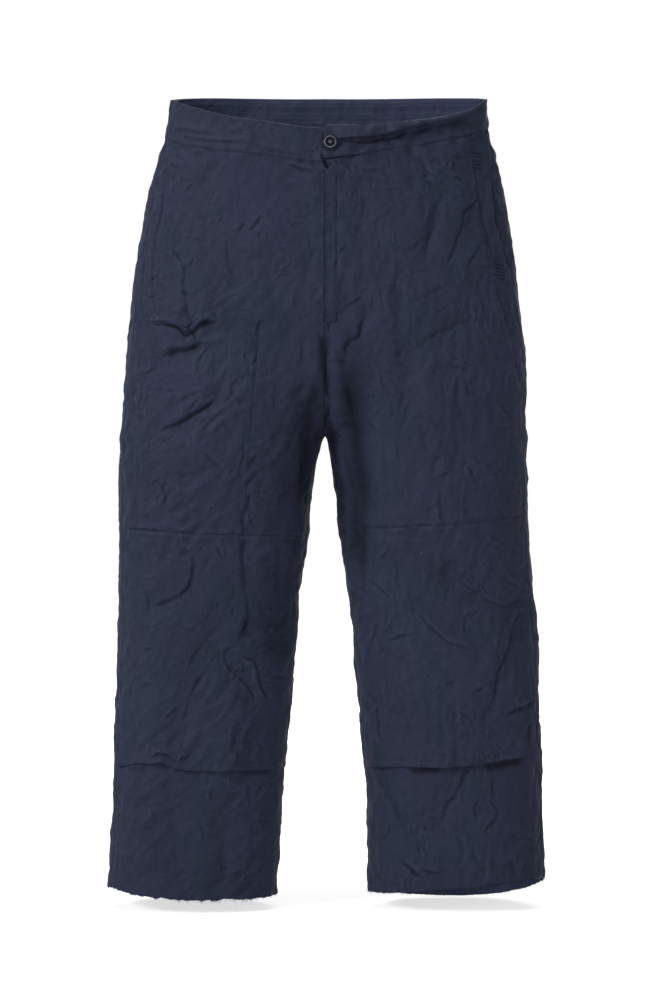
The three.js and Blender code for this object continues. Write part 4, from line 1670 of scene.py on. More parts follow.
def rubbed(height: Array) -> Array:
    """Painted highlight on ridges and painted shade in creases, about −1 to 1.

    It is the height less its mean over the places around, which a few passes of averaging
    with the four neighbours give.

    Args:
        height: How far each point of a grid stands out.

    Returns:
        The tone of each point.
    """
    mean = height
    for _ in range(5):
        padded = np.pad(mean, 1, mode="edge")
        mean = (padded[2:, 1:-1] + padded[:-2, 1:-1] + padded[1:-1, 2:] + padded[1:-1, :-2]) / 4
    return np.clip((height - mean) * 1.2, -1, 0.6)


def darkened(u: Array, v: Array, marks: tuple[Crease, ...]) -> Array:
    """Share of light that painted shade takes from the cloth at places of the front elevation."""
    return 0 * u - sum(mark.height(u, v, None) for mark in marks)


def hash_of(name: str) -> int:
    """A number from a name, the same on every run."""
    return sum((i + 1) * ord(letter) for i, letter in enumerate(name)) % 9973


@dataclass
class Seams:
    """How cloth dips and puckers beside the edges where it is sewn."""

    groove: float = 0.25
    width: float = 1.6
    pucker: float = 1.7
    reach: float = 20.0
    pitch: float = 17.0

    def height(self, distance: Array, along: Array, grain: Grain) -> Array:
        """Height beside one edge, drawn out into long waves beside it.

        Args:
            distance: Distance from the edge.
            along: Distance along it.
            grain: Places the puckers.

        Returns:
            Millimetres outwards: a groove at the edge and waves that die away from it.
        """
        line = np.stack([along / self.pitch, distance / 10, 0 * along + 0.5], -1)
        waves = self.pucker * grain.at(line, 1.0) * np.exp(-distance / self.reach)
        return waves * smoothstep(distance, 0, 3) - self.groove * hill(distance, 0, self.width)


class Cut:
    """What every piece of cut cloth holds: its name, cut, area and outer face; it logs the area.
    """

    name: str
    flat: tuple[float, float]
    area: float
    sheet: Sheet | None

    def declare(self, piece: bpy.types.Object) -> bpy.types.Object:
        """Args:
            piece: The piece.

        Returns:
            The same piece.
        """
        log.info("%s: %.4f of %.4f m2", self.name, cloth_area(self.sheet.points), self.area)
        return piece


@dataclass
class Panel(Cut):
    """A front, back or laid-on piece of a leg.

    Attributes:
        side: The leg.
        name: The CAD node that it stands for.
        top: Its upper edge.
        bottom: Its lower edge.
        stops: Places round the leg between which its columns are even.
        steps: Number of columns in each of these stretches.
        rows: Number of rows in each stretch between the edges.
        flat: Width and length of its cut, metres; not used.
        area: The cut's area, square metres.
        back: Whether it lies on the back.
        sewn: The edges where seams draw it in.
        wall: The cloth's thickness.
        seams: How it dips and puckers at those edges.
        sheet: The outer face, once it is shaped, and so with the four below.
        height: How far its points stand out from the form.
        normals: The form's outward directions there.
        worn: Painted highlight on its ridges and painted shade in its creases.
        dark: Share of light that painted shade takes from it.
    """

    side: Side
    name: str
    top: str
    bottom: str
    stops: tuple[float, ...]
    steps: tuple[int, ...]
    rows: tuple[int, ...]
    flat: tuple[float, float]
    area: float
    back: bool = False
    sewn: tuple[Edge, ...] = tuple(Edge)
    wall: float = SHELL_WALL
    seams: Seams = field(default_factory=Seams)
    sheet: Sheet | None = None
    height: Array | None = None
    normals: Array | None = None
    worn: Array | None = None
    dark: Array | None = None

    def places(self) -> Array:
        """Places of the columns round the leg.

        Returns:
            The places, from the first stop to the last.
        """
        runs = [
            np.linspace(a, b, n, endpoint=False)
            for a, b, n in zip(self.stops, self.stops[1:], self.steps)
        ]
        return np.concatenate([*runs, self.stops[-1:]])

    def heights(self, places: Array) -> Array:
        """Heights of the rows at each column.

        Args:
            places: Places of the columns round the leg.

        Returns:
            Heights, row by row from the top.
        """
        leg = LEGS[self.side]
        names = STRETCHES[STRETCHES.index(self.top):STRETCHES.index(self.bottom) + 1]
        runs = []
        for upper, lower, count in zip(names, names[1:], self.rows):
            share = (np.arange(count) / count)[:, None]
            runs.append(leg.edge(upper, places) * (1 - share) + leg.edge(lower, places) * share)
        z = np.concatenate([*runs, leg.edge(self.bottom, places)[None]])
        z[0] -= CLOSED if self.back else SEAM
        if self.bottom != "hem":
            z[-1] += SEAM
            return z
        spots = np.stack([places * 160, 0 * places, 0 * places + hash_of(self.name)], -1)
        wavy = 0.8 * Grain(4).at(spots, 11) + 0.8 * Grain(5).at(spots, 4)
        wavy = wavy * (1 + 1.3 * hill(places, 0.5, 0.3) * (self.side is Side.RIGHT))
        return z + wavy * np.linspace(0, 1, len(z))[:, None] ** 60

    def turn_in(self, places: Array, share: Array) -> Array:
        """Move the columns sideways, where a piece isn't cut to the leg's own edges."""
        return places + 0 * share

    def lift(self, places: Array, share: Array, u: Array, v: Array) -> Array:
        """How far the piece lies over the form."""
        return 0 * u

    def edge_shift(self, u: Array, share: Array) -> Array:
        """How far the rows move up, where an edge isn't even."""
        return 0 * u

    def marks(self) -> tuple[Crease, ...]:
        """Its painted shade along the deepest folds."""
        return () if self.back else PAINTED_SHADE_MARKS

    def shape(self) -> Sheet:
        """Work out the outer face.

        Each point is the form's, moved out by the lift and the relief. Beside the centre
        seam it only moves in and out.

        Returns:
            The outer face.
        """
        leg = LEGS[self.side]
        places = self.places()
        z = self.heights(places)
        share = np.linspace(0, 1, len(z))[:, None] + 0 * z
        place = self.turn_in(places[None] + 0 * z, share)
        turn = leg.turn_of(place, z, self.back)
        u, v = Elevation(front=not self.back).flatten(leg.point(turn, z))
        z = z + self.edge_shift(u, share)
        turn = leg.turn_of(place, z, self.back)
        base, normal = leg.point(turn, z), leg.outward(turn, z)
        height = RELIEF.height(base, normal)
        down, across = arc(base, 0), arc(base, 1)
        grain = Grain(hash_of(self.name))
        beside = {
            Edge.TOP: (down, across), Edge.BOTTOM: (down[-1:] - down, across),
            Edge.START: (across, down), Edge.END: (across[:, -1:] - across, down),
        }
        for edge in self.sewn:
            distance, along = beside[edge]
            height = height + self.seams.height(distance, along, grain)
        # Painted shade in the creases and painted highlight on the ridges, from the relief.
        self.worn = rubbed(height)
        # Painted shade along the marked folds, and on the fronts painted shadows under the free
        # edges.
        self.dark = darkened(u, v, self.marks())
        self.height = height + self.lift(place, share, u, v)
        self.normals = normal
        move = normal * self.height[..., None]
        if place.min() < 0.3 or self.back:
            move[..., 0] *= smoothstep(np.abs(base[..., 0]), 0, CENTRE_HOLD)
        self.sheet = Sheet(base + move, outward=normal)
        return self.sheet

    def build(self, wardrobe: Wardrobe) -> bpy.types.Object:
        """Make the piece, give it its wall and finish, and log its area.

        Args:
            wardrobe: The materials.

        Returns:
            The piece.
        """
        sheet = self.shape()
        points, faces, rim = walled(sheet.points, self.normals, self.height, self.wall)
        uv = np.stack([sheet.across, -sheet.down], -1)
        uv = np.concatenate([uv.reshape(-1, 2), uv[::COARSE, ::COARSE].reshape(-1, 2)])
        worn = np.concatenate([self.worn.ravel(), self.worn[::COARSE, ::COARSE].ravel()])
        # A lighter reverse, partly painted light on the shaded insides, and painted shade on the
        # face.
        inside = REVERSE_TONE * (np.arange(len(points)) >= self.worn.size)
        inside[:self.dark.size] = PAINTED_SHADE_TONE * self.dark.ravel()
        piece = make_object(f"cloth_{self.name}", points, faces, rim, uv=uv, worn=worn,
                            inside=inside)
        place_piece(piece, wardrobe.shell, self.name)
        return self.declare(piece)


@dataclass
class Front(Panel):
    """A front panel, which runs on flat under what is laid on it."""

    def marks(self) -> tuple[Crease, ...]:
        """Its painted shade along the deepest folds, with painted shadows under the free edges."""
        return PAINTED_SHADE_MARKS + SHADOWED

    def lift(self, places: Array, share: Array, u: Array, v: Array) -> Array:
        """Sink under the knee panel and under the thigh pocket's mouth.

        Args:
            places: Places round the leg.
            share: Share of the way down the piece.
            u: Places across the elevation.
            v: Places up it.

        Returns:
            Millimetres outwards.
        """
        leg = LEGS[self.side]
        z = v_to_z(v)
        knee = leg.edge("knee", np.clip(places, 0, 2))
        flap = leg.edge("flap", np.clip(places, 0, 2))
        inside = smoothstep(knee - z, 4, 16) * smoothstep(z - flap, 10, 34)
        inside = inside * smoothstep(places, -0.5, 0.02) * (1 - smoothstep(places, 0.86, 0.97))
        corner = smoothstep(places, 0.66, 0.78) * smoothstep(share, 0.55, 0.75)
        sink = -4.5 * inside * (1 - corner * (self.side is Side.LEFT))
        if self.side is Side.LEFT:
            under = 1 - smoothstep(places * CENTRE_SPAN, 6, PLACKET_WIDTH - 1)
            return sink - 0.9 * under * smoothstep(v, -236, -228)
        under = smoothstep(places - ROUND_OF_POCKET, 0.02, 0.06) * (1 - smoothstep(places, 0.9, 1))
        under = under * smoothstep(v, -486, -478) * (1 - smoothstep(v, -256, -248))
        sink = sink - 0.25 * hill(places - ROUND_OF_POCKET, 0.01, 0.035) * (v < -250) * (v > -478)
        return sink - 0.8 * under - 3.5 * hill(u, -160, 14) * hill(v, -252, 12)


def v_to_z(v: Array) -> Array:
    """The height of a front point from its place up the elevation, near enough."""
    flat = Elevation()
    return flat.up + (v - flat.up) * (flat.away - FRONT_DEPTH) / flat.away


@dataclass
class KneePanel(Panel):
    """The second layer over a knee, sewn in at its top and sides with its hem hanging free.

    Attributes:
        stand: How far the hem stands away.
        draw_in: How far its outer corner is drawn in, as a place round the leg.
        waves: Number of the hem's waves.
        crest: Place of one wave's crest.
        free: Shares of its length between which the corner comes free.
        arch: Place, reach and rise of a buckle in the hem, if there is one.
    """

    stand: float = 4.0
    draw_in: float = 0.05
    waves: float = 3.0
    crest: float = 0.0
    free: tuple[float, float] = (0.7, 1.0)
    arch: tuple[float, float, float] | None = None

    def turn_in(self, places: Array, share: Array) -> Array:
        """Draw the free outer corner in from the side seam."""
        loose = smoothstep(share, *self.free) * smoothstep(places, 0.4, 1)
        return places - self.draw_in * loose

    def edge_shift(self, u: Array, share: Array) -> Array:
        """Raise the hem where it buckles.

        Args:
            u: Places across the elevation.
            share: Share of the way down the piece.

        Returns:
            Millimetres upwards.
        """
        if self.arch is None:
            return 0 * u
        at, width, rise = self.arch
        return rise * hill(u, at, width) * share**12

    def lift(self, places: Array, share: Array, u: Array, v: Array) -> Array:
        """Stand away in waves towards the hem.

        Args:
            places: Places round the leg.
            share: Share of the way down the piece.
            u: Places across the elevation.
            v: Places up it; not used.

        Returns:
            Millimetres outwards.
        """
        wave = 0.65 + 0.35 * np.cos(self.waves * 2 * pi * (places - self.crest))
        out = LAID + self.stand * wave * share**3 * smoothstep(places, -0.02, 0.15)
        hem = hill(share, 0.985, 0.012)
        if self.arch is not None:
            at, width, _ = self.arch
            out = out + 4.0 * hill(u, at, width * 1.1) * share**20
        return out + 0.5 * hem


@dataclass
class Pocket(Panel):
    """The thigh pocket, whose mouth gapes and sags at one place.

    Attributes:
        mouth: How far the mouth stands open.
        sag: Place, reach and drop of the sag.
    """

    mouth: float = 2.0
    sag: tuple[float, float, float] = (-161, 9, -8)

    def edge_shift(self, u: Array, share: Array) -> Array:
        """Let the mouth down where it is pinched and up beside it.

        Args:
            u: Places across the elevation.
            share: Share of the way down the piece.

        Returns:
            Millimetres upwards.
        """
        at, width, drop = self.sag
        line = drop * hill(u, at, width) + 3.5 * hill(u, -122, 26)
        return line * (1 - smoothstep(share, 0, 0.16))

    def lift(self, places: Array, share: Array, u: Array, v: Array) -> Array:
        """Stand away at the mouth, most in its middle and at the pinch.

        Args:
            places: Places round the leg.
            share: Share of the way down the piece.
            u: Places across the elevation.
            v: Places up it; not used.

        Returns:
            Millimetres outwards.
        """
        middle = np.sin(pi * (places - ROUND_OF_POCKET) / (1 - ROUND_OF_POCKET))
        near = np.maximum(1 - 6 * share, 0)
        rolled = 2.6 * hill(u, -147, 12) * hill(share, 0, 0.035)
        flush = 0.35 * hill(places - ROUND_OF_POCKET, 0, 0.02) * smoothstep(share, 0.03, 0.1)
        return LAID - flush + self.mouth * middle * near + rolled + 0.6 * hill(share, 0.0, 0.02)


@dataclass
class Placket(Panel):
    """The fly's edge strip, laid on the left front."""

    def lift(self, places: Array, share: Array, u: Array, v: Array) -> Array:
        """Lie on the panel and dip at both edges."""
        x = places * CENTRE_SPAN
        return LAID - 0.2 * hill(x, 0, 1.2) - 0.1 * hill(x, PLACKET_WIDTH, 1.4)


def panels() -> dict[str, Panel]:
    """All the panels of the legs, by name.

    Returns:
        The panels, in the order in which they are made.
    """
    side_edges = (Edge.START, Edge.END)
    front_rows = (132, 90, 78, 30, 102)
    made: list[Panel] = []
    for side in Side:
        made.append(Front(
            side, f"front_{side.word}", "waist", "hem", FRONT_STOPS, (12, 50, 130), front_rows,
            flat=(0.31, 0.88), area=0.218, sewn=(Edge.TOP, *side_edges),
        ))
        made.append(Panel(
            side, f"back_{side.word}", "waist", "hem", (1.0, 2.0), (90,), (70, 46, 42, 98, 56),
            flat=(0.34, 0.93), area=0.290, back=True, sewn=(Edge.TOP, *side_edges),
        ))
    for side, area, hang in (
        (Side.RIGHT, 0.0715, {"stand": 6, "draw_in": 0.05, "waves": 3, "arch": (-190, 8, 5)}),
        (Side.LEFT, 0.0745, {"stand": 9, "draw_in": 0.17, "waves": 2.5, "crest": 0.43,
                             "free": (0.74, 0.9)}),
    ):
        made.append(KneePanel(
            side, f"knee_panel_{side.word}", "knee", "flap", FRONT_STOPS, (10, 44, 114), (198,),
            flat=(0.27, 0.30), area=area, sewn=(Edge.TOP, *side_edges), wall=LAID_WALL, **hang,
        ))
    made.append(Pocket(
        Side.RIGHT, "thigh_pocket_right", "pocket", "knee", (ROUND_OF_POCKET, 1.0), (120,),
        (90, 78), flat=(0.19, 0.26), area=0.0408, sewn=(Edge.BOTTOM, Edge.END), wall=LAID_WALL,
    ))
    made.append(Placket(
        Side.LEFT, "fly_placket", "waist", "pocket", (0.0, ROUND_OF_PLACKET), (12,), (132,),
        flat=(0.03, 0.195), area=0.00275, sewn=(), wall=LAID_WALL,
    ))
    return {panel.name: panel for panel in made}


# ---------------------------------------------------------------- waistband
LIP = Table("x height stand", (
    (-5, 17, 0.0), (8, 18, 0.1), (16, 18, 0.6), (26, 17.5, 1.1), (36, 17, 1.25), (48, 15.5, 1.3),
    (60, 14.5, 1.35), (70, 13, 1.3), (79, 11.5, 1.9), (88, 7.5, 1.0), (98, 7, 1.9),
    (108, 6, 1.2), (116, 5, 0.9), (128, 5, 0.9), (142, 4.5, 0.7), (156, 4, 0.5),
    (172, 3.5, 0.25), (190, 3, 0.0),
))


@dataclass
class Band(Cut):
    """One stretch of the waistband: a closed profile carried round the waist.

    Attributes:
        side: The leg whose form it lies on.
        name: The CAD node that it stands for.
        places: Places round the leg of its columns.
        flat: Width and length of its cut, metres; not used.
        area: The cut's area, square metres.
        lip: Whether its top edge rolls out over a hollow.
        over: Whether its start lies over the other side's band.
        sheet: The outer face, once it is made.
        inner: The inner face.
    """

    side: Side
    name: str
    places: Array
    flat: tuple[float, float]
    area: float
    lip: bool = False
    over: bool = False
    sheet: Sheet | None = None
    inner: Sheet | None = None

    def frame_at(self, place: Array, z: Array) -> tuple[Array, Array]:
        """Points of the form and outward directions at the columns' places.

        Near the centre front the columns stand upright; further round they follow the leg.

        Args:
            place: Places round the leg.
            z: Heights.

        Returns:
            The points and the directions.
        """
        leg = LEGS[self.side]
        upright = leg.turn_at(place * CENTRE_SPAN, z)
        turn = np.where(place < ROUND_OF_PLACKET, upright, leg.turn_of(place, z))
        return leg.point(turn, z), leg.outward(turn, z)

    def profile(self, place: Array, high: Array) -> tuple[Array, Array, int]:
        """The closed profile of each column.

        The outer face runs down from the top edge. Where there is a lip it bulges out, turns
        under and comes back over a hollow, and the inner face runs up again.

        Args:
            place: Places of the columns round the leg.
            high: Height of the band at each.

        Returns:
            Distances below the top and outwards, and the number of rows of the outer face.
        """
        zero = 0 * place
        if self.lip:
            x = place * WAIST_QUARTER
            lip, s = LIP.at("height", x), LIP.at("stand", x)
            lip = np.minimum(lip, 0.45 * high)
            outer = [
                (zero, 2.0 * s), (0.25 * lip, 3.9 * s + 0.2), (0.68 * lip, 5.3 * s),
                (lip, 4.8 * s), (lip - 1.0 * s, 1.0 * s), (lip - 0.6 * s + 0.6, -2.4 * s),
                (lip + 2.2, -4.3 * s), (lip + 0.36 * (high - lip), -2.2 * s),
                (high - 6, -0.6 * s), (high - 1, zero), (high + 0.9, zero + 0.05),
                (high + 0.5, zero - 0.35), (high, zero - 0.7),
            ]
            inner = [
                (high, zero - BAND_WALL), (0.75 * high, -BAND_WALL - 1.8 * s),
                (lip + 3, -BAND_WALL - 4.3 * s), (0.6 * lip, -BAND_WALL - 0.4 * s),
                (zero + 0.8, 2.0 * s - BAND_WALL),
            ]
        else:
            outer = [
                (zero, zero - 0.3), (zero + 2, zero + 0.15), (0.2 * high, zero),
                (0.5 * high, zero), (0.8 * high, zero), (high - 1.2, zero),
                (high + 0.9, zero + 0.05), (high + 0.5, zero - 0.35), (high, zero - 0.7),
            ]
            inner = [
                (high, zero - BAND_WALL + 0.3), (0.66 * high, zero - BAND_WALL),
                (0.33 * high, zero - BAND_WALL), (zero + 1.4, zero - BAND_WALL),
                (zero, zero - BAND_WALL + 0.4),
            ]
        steps = 4 if self.lip else 5
        outside = spline(np.array(outer), steps)
        inside = spline(np.array(inner), steps)
        top = np.array([(zero - 0.7, (outside[0, 1] + inside[-1, 1]) / 2)])
        both = np.concatenate([outside, inside, top])
        return both[:, 0], both[:, 1], len(outside)

    def edge(self, name: str) -> Array:
        """Heights of an edge: past the centre they are those of the left side."""
        far = LEGS[Side.LEFT].edge(name, np.abs(self.places) * CENTRE_SPAN / WAIST_QUARTER)
        return np.where(self.places < 0, far, LEGS[self.side].edge(name, self.places))

    def lift(self, place: Array) -> Array:
        """How far the whole band lies out, more where it lies over the other end.

        Args:
            place: Places round the leg.

        Returns:
            Millimetres outwards.
        """
        if not self.over:
            return BAND_LIFT + 0 * place
        x = place * CENTRE_SPAN
        return OVER_LIFT + (BAND_LIFT - OVER_LIFT) * smoothstep(x, UNDERLAP + 2, END_SEAM - 10)

    def corner(self, place: Array) -> Array:
        """How far the end's rounded corner cuts the top edge down.

        Args:
            place: Places round the leg.

        Returns:
            Millimetres downwards.
        """
        if not self.over:
            return 0 * place
        near = np.clip(END_CORNER - (place * CENTRE_SPAN + OVERLAP), 0, END_CORNER)
        return END_CORNER - np.sqrt(END_CORNER**2 - near**2)

    def build(self, wardrobe: Wardrobe) -> bpy.types.Object:
        """Make the band, closed all round.

        Args:
            wardrobe: The materials.

        Returns:
            The piece.
        """
        place = self.places
        seam = self.edge("waist") + SEAM
        top = self.edge("top") - self.corner(place)
        down, out, rows = self.profile(place, top - seam)
        z = top - down
        wide = place[None] + 0 * z
        base, normal = self.frame_at(wide, z)
        height = RELIEF.height(base, normal)
        along = arc(base, 1)
        grain = Grain(hash_of(self.name))
        seams = Seams(groove=0.3, pucker=0.9, reach=14, pitch=8)
        height = height + seams.height(np.abs(z - seam), along, grain)
        if self.over:
            height = height + 1.8 * hill(wide * CENTRE_SPAN, -3, 8) * hill(z - seam, 0, 9)
        face = height * np.where(np.arange(len(z)) < rows, 1, 0.4)[:, None]
        points = base + normal * (out + self.lift(place) + face)[..., None]
        return self.close(wardrobe, points, normal, height, rows)

    def close(self, wardrobe: Wardrobe, points: Array, normal: Array, height: Array,
              rows: int) -> bpy.types.Object:
        """Make the piece of its closed profile.

        Args:
            wardrobe: The materials.
            points: Points of the profile, column by column.
            normal: The form's outward directions there.
            height: How far the cloth's relief stands out.
            rows: Number of rows of the outer face.

        Returns:
            The piece, with its area logged.
        """
        self.sheet = Sheet(points[:rows], outward=normal[:rows])
        self.inner = Sheet(points[rows:-1], outward=-normal[rows:-1])
        piece = self.mesh(points, normal, height)
        place_piece(piece, wardrobe.band, self.name)
        return self.declare(piece)

    def mesh(self, points: Array, normal: Array, height: Array) -> bpy.types.Object:
        """Close the profile and cap its two ends.

        Args:
            points: Points of the profile, column by column.
            normal: The form's outward directions there.
            height: How far the cloth's relief stands out.

        Returns:
            The piece.
        """
        rows, columns = points.shape[:2]
        faces = faces_out(points[:8], lattice(8, columns), normal[:8])
        flipped = bool((faces[0] != lattice(8, columns)[0]).any())
        faces = lattice(rows, columns, closed=True)
        faces = faces[:, ::-1] if flipped else faces
        ring = np.arange(rows) * columns
        caps = [ring.tolist(), (ring + columns - 1)[::-1].tolist()]
        if flipped:
            caps = [cap[::-1] for cap in caps]
        uv = np.stack([arc(points, 1), -arc(points, 0)], -1)
        behind = np.arange(rows)[:, None] >= len(self.sheet.points) + 0 * points[..., 0]
        # Painted shade in the creases and painted highlight on the ridges; a lighter reverse,
        # partly painted light on the shaded inside.
        return make_object(f"cloth_{self.name}", points, [*faces.tolist(), *caps[::-1]],
                           uv=uv, worn=rubbed(height), inside=BAND_REVERSE_TONE * behind)


@dataclass
class BackBand(Band):
    """The back of the waistband, from side to side."""

    def build(self, wardrobe: Wardrobe) -> bpy.types.Object:
        """Make both halves as one closed piece.

        Args:
            wardrobe: The materials.

        Returns:
            The piece.
        """
        halves = []
        for side in (Side.RIGHT, Side.LEFT):
            leg, place = LEGS[side], self.places
            seam, top = leg.edge("waist", place) + SEAM, leg.edge("top", place)
            down, out, rows = self.profile(place, top - seam)
            z = top - down
            turn = leg.turn_of(place[None] + 0 * z, z, True)
            turn[:, -1] = -leg.turn_at(0 * z[:, -1], z[:, -1])
            base, normal = leg.point(turn, z), leg.outward(turn, z)
            halves.append([base, normal, out + 0 * z, np.abs(z - seam)])
        left = [part[:, ::-1][:, 1:] for part in halves[1]]
        base, normal, out, low = (
            np.concatenate([a, b], 1) for a, b in zip(halves[0], left)
        )
        height = RELIEF.height(base, normal)
        along = arc(base, 1)
        seams = Seams(groove=0.7, pucker=0.7, reach=14, pitch=8)
        height = height + seams.height(low, along, Grain(77))
        height = height - 0.9 * hill(base[..., 0], 0, 1.6)
        folded = sum(hill(low, at, 1.3) for at in (10.0, 17.5, 29.0, 34.0))
        height[rows:] = (0.4 * height - 0.8 * folded - 0.08 * low)[rows:]
        points = base + normal * (out + BAND_LIFT + height)[..., None]
        return self.close(wardrobe, points, normal, height, rows)


def bands() -> dict[str, Band]:
    """All the stretches of the waistband, by name.

    Returns:
        The stretches, in the order in which they are made.
    """
    gap = BAND_GAP / WAIST_QUARTER
    tip = -OVERLAP / CENTRE_SPAN
    under = -UNDERLAP / CENTRE_SPAN
    made = [
        Band(Side.RIGHT, "waistband_right", np.linspace(under, 1.0, 126), (0.225, 0.048), 0.0098),
        Band(Side.LEFT, "waistband_left_end", np.linspace(tip, ROUND_OF_POCKET - gap, 44),
             (0.078, 0.055), 0.0032, lip=True, over=True),
        Band(Side.LEFT, "waistband_left", np.linspace(ROUND_OF_POCKET + gap, 1.0, 78),
             (0.135, 0.060), 0.0054, lip=True),
        BackBand(Side.RIGHT, "waistband_back", np.linspace(1, 2, 104), (0.45, 0.048), 0.0209),
    ]
    return {band.name: band for band in made}


# ---------------------------------------------------------------- sewing
def read(values: Array, run: Array, at: Array) -> Array:
    """Points or directions at lengths along a line, between those at the lengths of run."""
    return np.stack([np.interp(at, run, values[:, k]) for k in range(3)], -1)


@dataclass
class Sewing:
    """Rows of stitches, gathered into one piece.

    Attributes:
        pitch: Length of a stitch with the gap after it.
        length: Length of the thread that shows.
        thick: The thread's radius.
    """

    pitch: float = 3.2
    length: float = 2.5
    thick: float = 0.22
    points: list[Array] = field(default_factory=list)

    def stitches(self, centres: Array, ways: Array, normals: Array, length: float,
                 thick: float) -> None:
        """Add stitches: four-sided spindles with their tips pressed into the cloth.

        Args:
            centres: Their middles.
            ways: The directions that they lie along.
            normals: The cloth's directions.
            length: Their length.
            thick: Their radius.
        """
        along = np.array([-1, -0.55, -0.55, -0.55, -0.55, 0.55, 0.55, 0.55, 0.55, 1]) * length / 2
        angle = np.array([0, 0, 1, 2, 3, 0, 1, 2, 3, 0]) * pi / 2
        radius = np.array([0, *[1] * 8, 0]) * thick
        beside = unit(np.cross(ways, normals))
        rise = radius * np.sin(angle) + np.array([-0.4, *[0.45] * 8, -0.4]) * thick
        self.points.append(
            centres[:, None] + ways[:, None] * along[:, None]
            + beside[:, None] * (radius * np.cos(angle))[:, None]
            + normals[:, None] * rise[:, None]
        )

    def row(self, line: tuple[Array, Array]) -> None:
        """Add a row of stitches along a line on the cloth.

        Args:
            line: Points of the line and the cloth's directions there.
        """
        points, normals = line
        run = arc(points, 0)
        at = (np.arange(int(run[-1] / self.pitch)) + 0.5) * self.pitch
        ways = unit(read(points, run, at + 0.8) - read(points, run, at - 0.8))
        self.stitches(read(points, run, at), ways, unit(read(normals, run, at)),
                      self.length, self.thick)

    def tack(self, line: tuple[Array, Array], width: float = 2.2) -> None:
        """Add a bar tack: close stitches across a short line.

        Args:
            line: Points of the line and the cloth's directions there.
            width: Length of its stitches.
        """
        points, normals = line
        run = arc(points, 0)
        at = np.arange(0, run[-1], 0.62)
        centres, facing = read(points, run, at), unit(read(normals, run, at))
        ways = unit(np.gradient(centres, axis=0))
        slant = 0.22 * np.where(np.arange(len(at)) % 2, 1, -1)[:, None]
        across = unit(np.cross(ways, facing) + ways * slant)
        self.stitches(centres + 0.25 * facing, across, facing, width, 0.32)

    def build(self, name: str, wardrobe: Wardrobe, slot: Slot,
              material: bpy.types.Material | None = None) -> bpy.types.Object:
        """Make the piece of all the stitches added so far.

        Args:
            name: The piece's name.
            wardrobe: The materials.
            slot: The record's slot; not used.
            material: Its material, if it isn't the common thread.

        Returns:
            The piece.
        """
        points = np.concatenate(self.points)
        one = [(0, 2, 1), (0, 3, 2), (0, 4, 3), (0, 1, 4)]
        one += [(1, 2, 6, 5), (2, 3, 7, 6), (3, 4, 8, 7), (4, 1, 5, 8)]
        one += [(9, 5, 6), (9, 6, 7), (9, 7, 8), (9, 8, 5)]
        starts = np.arange(len(points)) * 10
        faces: list[list[int]] = []
        for face in one:
            faces += (starts[:, None] + np.array(face)).tolist()
        piece = make_object(name, points, faces)
        return place_piece(piece, material or wardrobe.thread)


@dataclass
class Fibres:
    """Loose fibres, gathered into one piece.

    Attributes:
        roots: Where they start.
        ways: Their directions.
        lengths: Their lengths.
    """

    roots: list[Array] = field(default_factory=list)
    ways: list[Array] = field(default_factory=list)
    lengths: list[Array] = field(default_factory=list)

    def hang(self, sheet: Sheet, columns: Array, out: float, fall: Sequence[float],
             stray: Sequence[float], numbers: np.random.Generator) -> Array:
        """Root fibres along the lowest row of a sheet, and give them their directions.

        Args:
            sheet: The cloth.
            columns: Places across its grid.
            out: How far the roots stand out of it.
            fall: The direction that they take.
            stray: How far they stray from it along each axis.
            numbers: Gives the straying.

        Returns:
            The points of the cloth where they are.
        """
        points, normals = sheet.sample(np.full(len(columns), len(sheet.points) - 1.0), columns)
        self.roots.append(points + out * normals)
        self.ways.append(unit(np.array(fall) + numbers.normal(size=points.shape) * stray))
        return points

    def build(self, name: str, thick: float, material: bpy.types.Material,
              seed: int) -> bpy.types.Object:
        """Make the piece: three-sided tapering strands that curl.

        Each has four stations at root + way·t + curl·t², and a triangle round each station.

        Args:
            name: The piece's name.
            thick: Their radius at the root.
            material: Their material.
            seed: Starts the random curls.

        Returns:
            The piece.
        """
        roots, ways = np.concatenate(self.roots), np.concatenate(self.ways)
        reach = np.concatenate(self.lengths)[:, None, None]
        curl = np.random.default_rng(seed).normal(size=ways.shape) * 0.45
        t = np.linspace(0, 1, 4)
        sweep = ways[:, None] * t[:, None] + curl[:, None] * t[:, None]**2
        middle = roots[:, None] + reach * sweep
        beside = unit(np.cross(ways, ways[:, [1, 2, 0]] + 0.01))
        other = np.cross(ways, beside)
        angle = np.arange(3) * 2 * pi / 3
        ring = beside[:, None] * np.cos(angle)[:, None] + other[:, None] * np.sin(angle)[:, None]
        width = thick * (1 - 0.75 * t)[:, None, None]
        points = middle[:, :, None] + ring[:, None] * width
        sides = [(k + j, k + (j + 1) % 3, k + 3 + (j + 1) % 3, k + 3 + j)
                 for k in (0, 3, 6) for j in range(3)]
        starts = np.arange(len(roots))[:, None] * 12
        faces = []
        for face in (*sides, (2, 1, 0), (9, 10, 11)):
            faces += (starts + np.array(face)).tolist()
        return place_piece(make_object(name, points, faces), material)


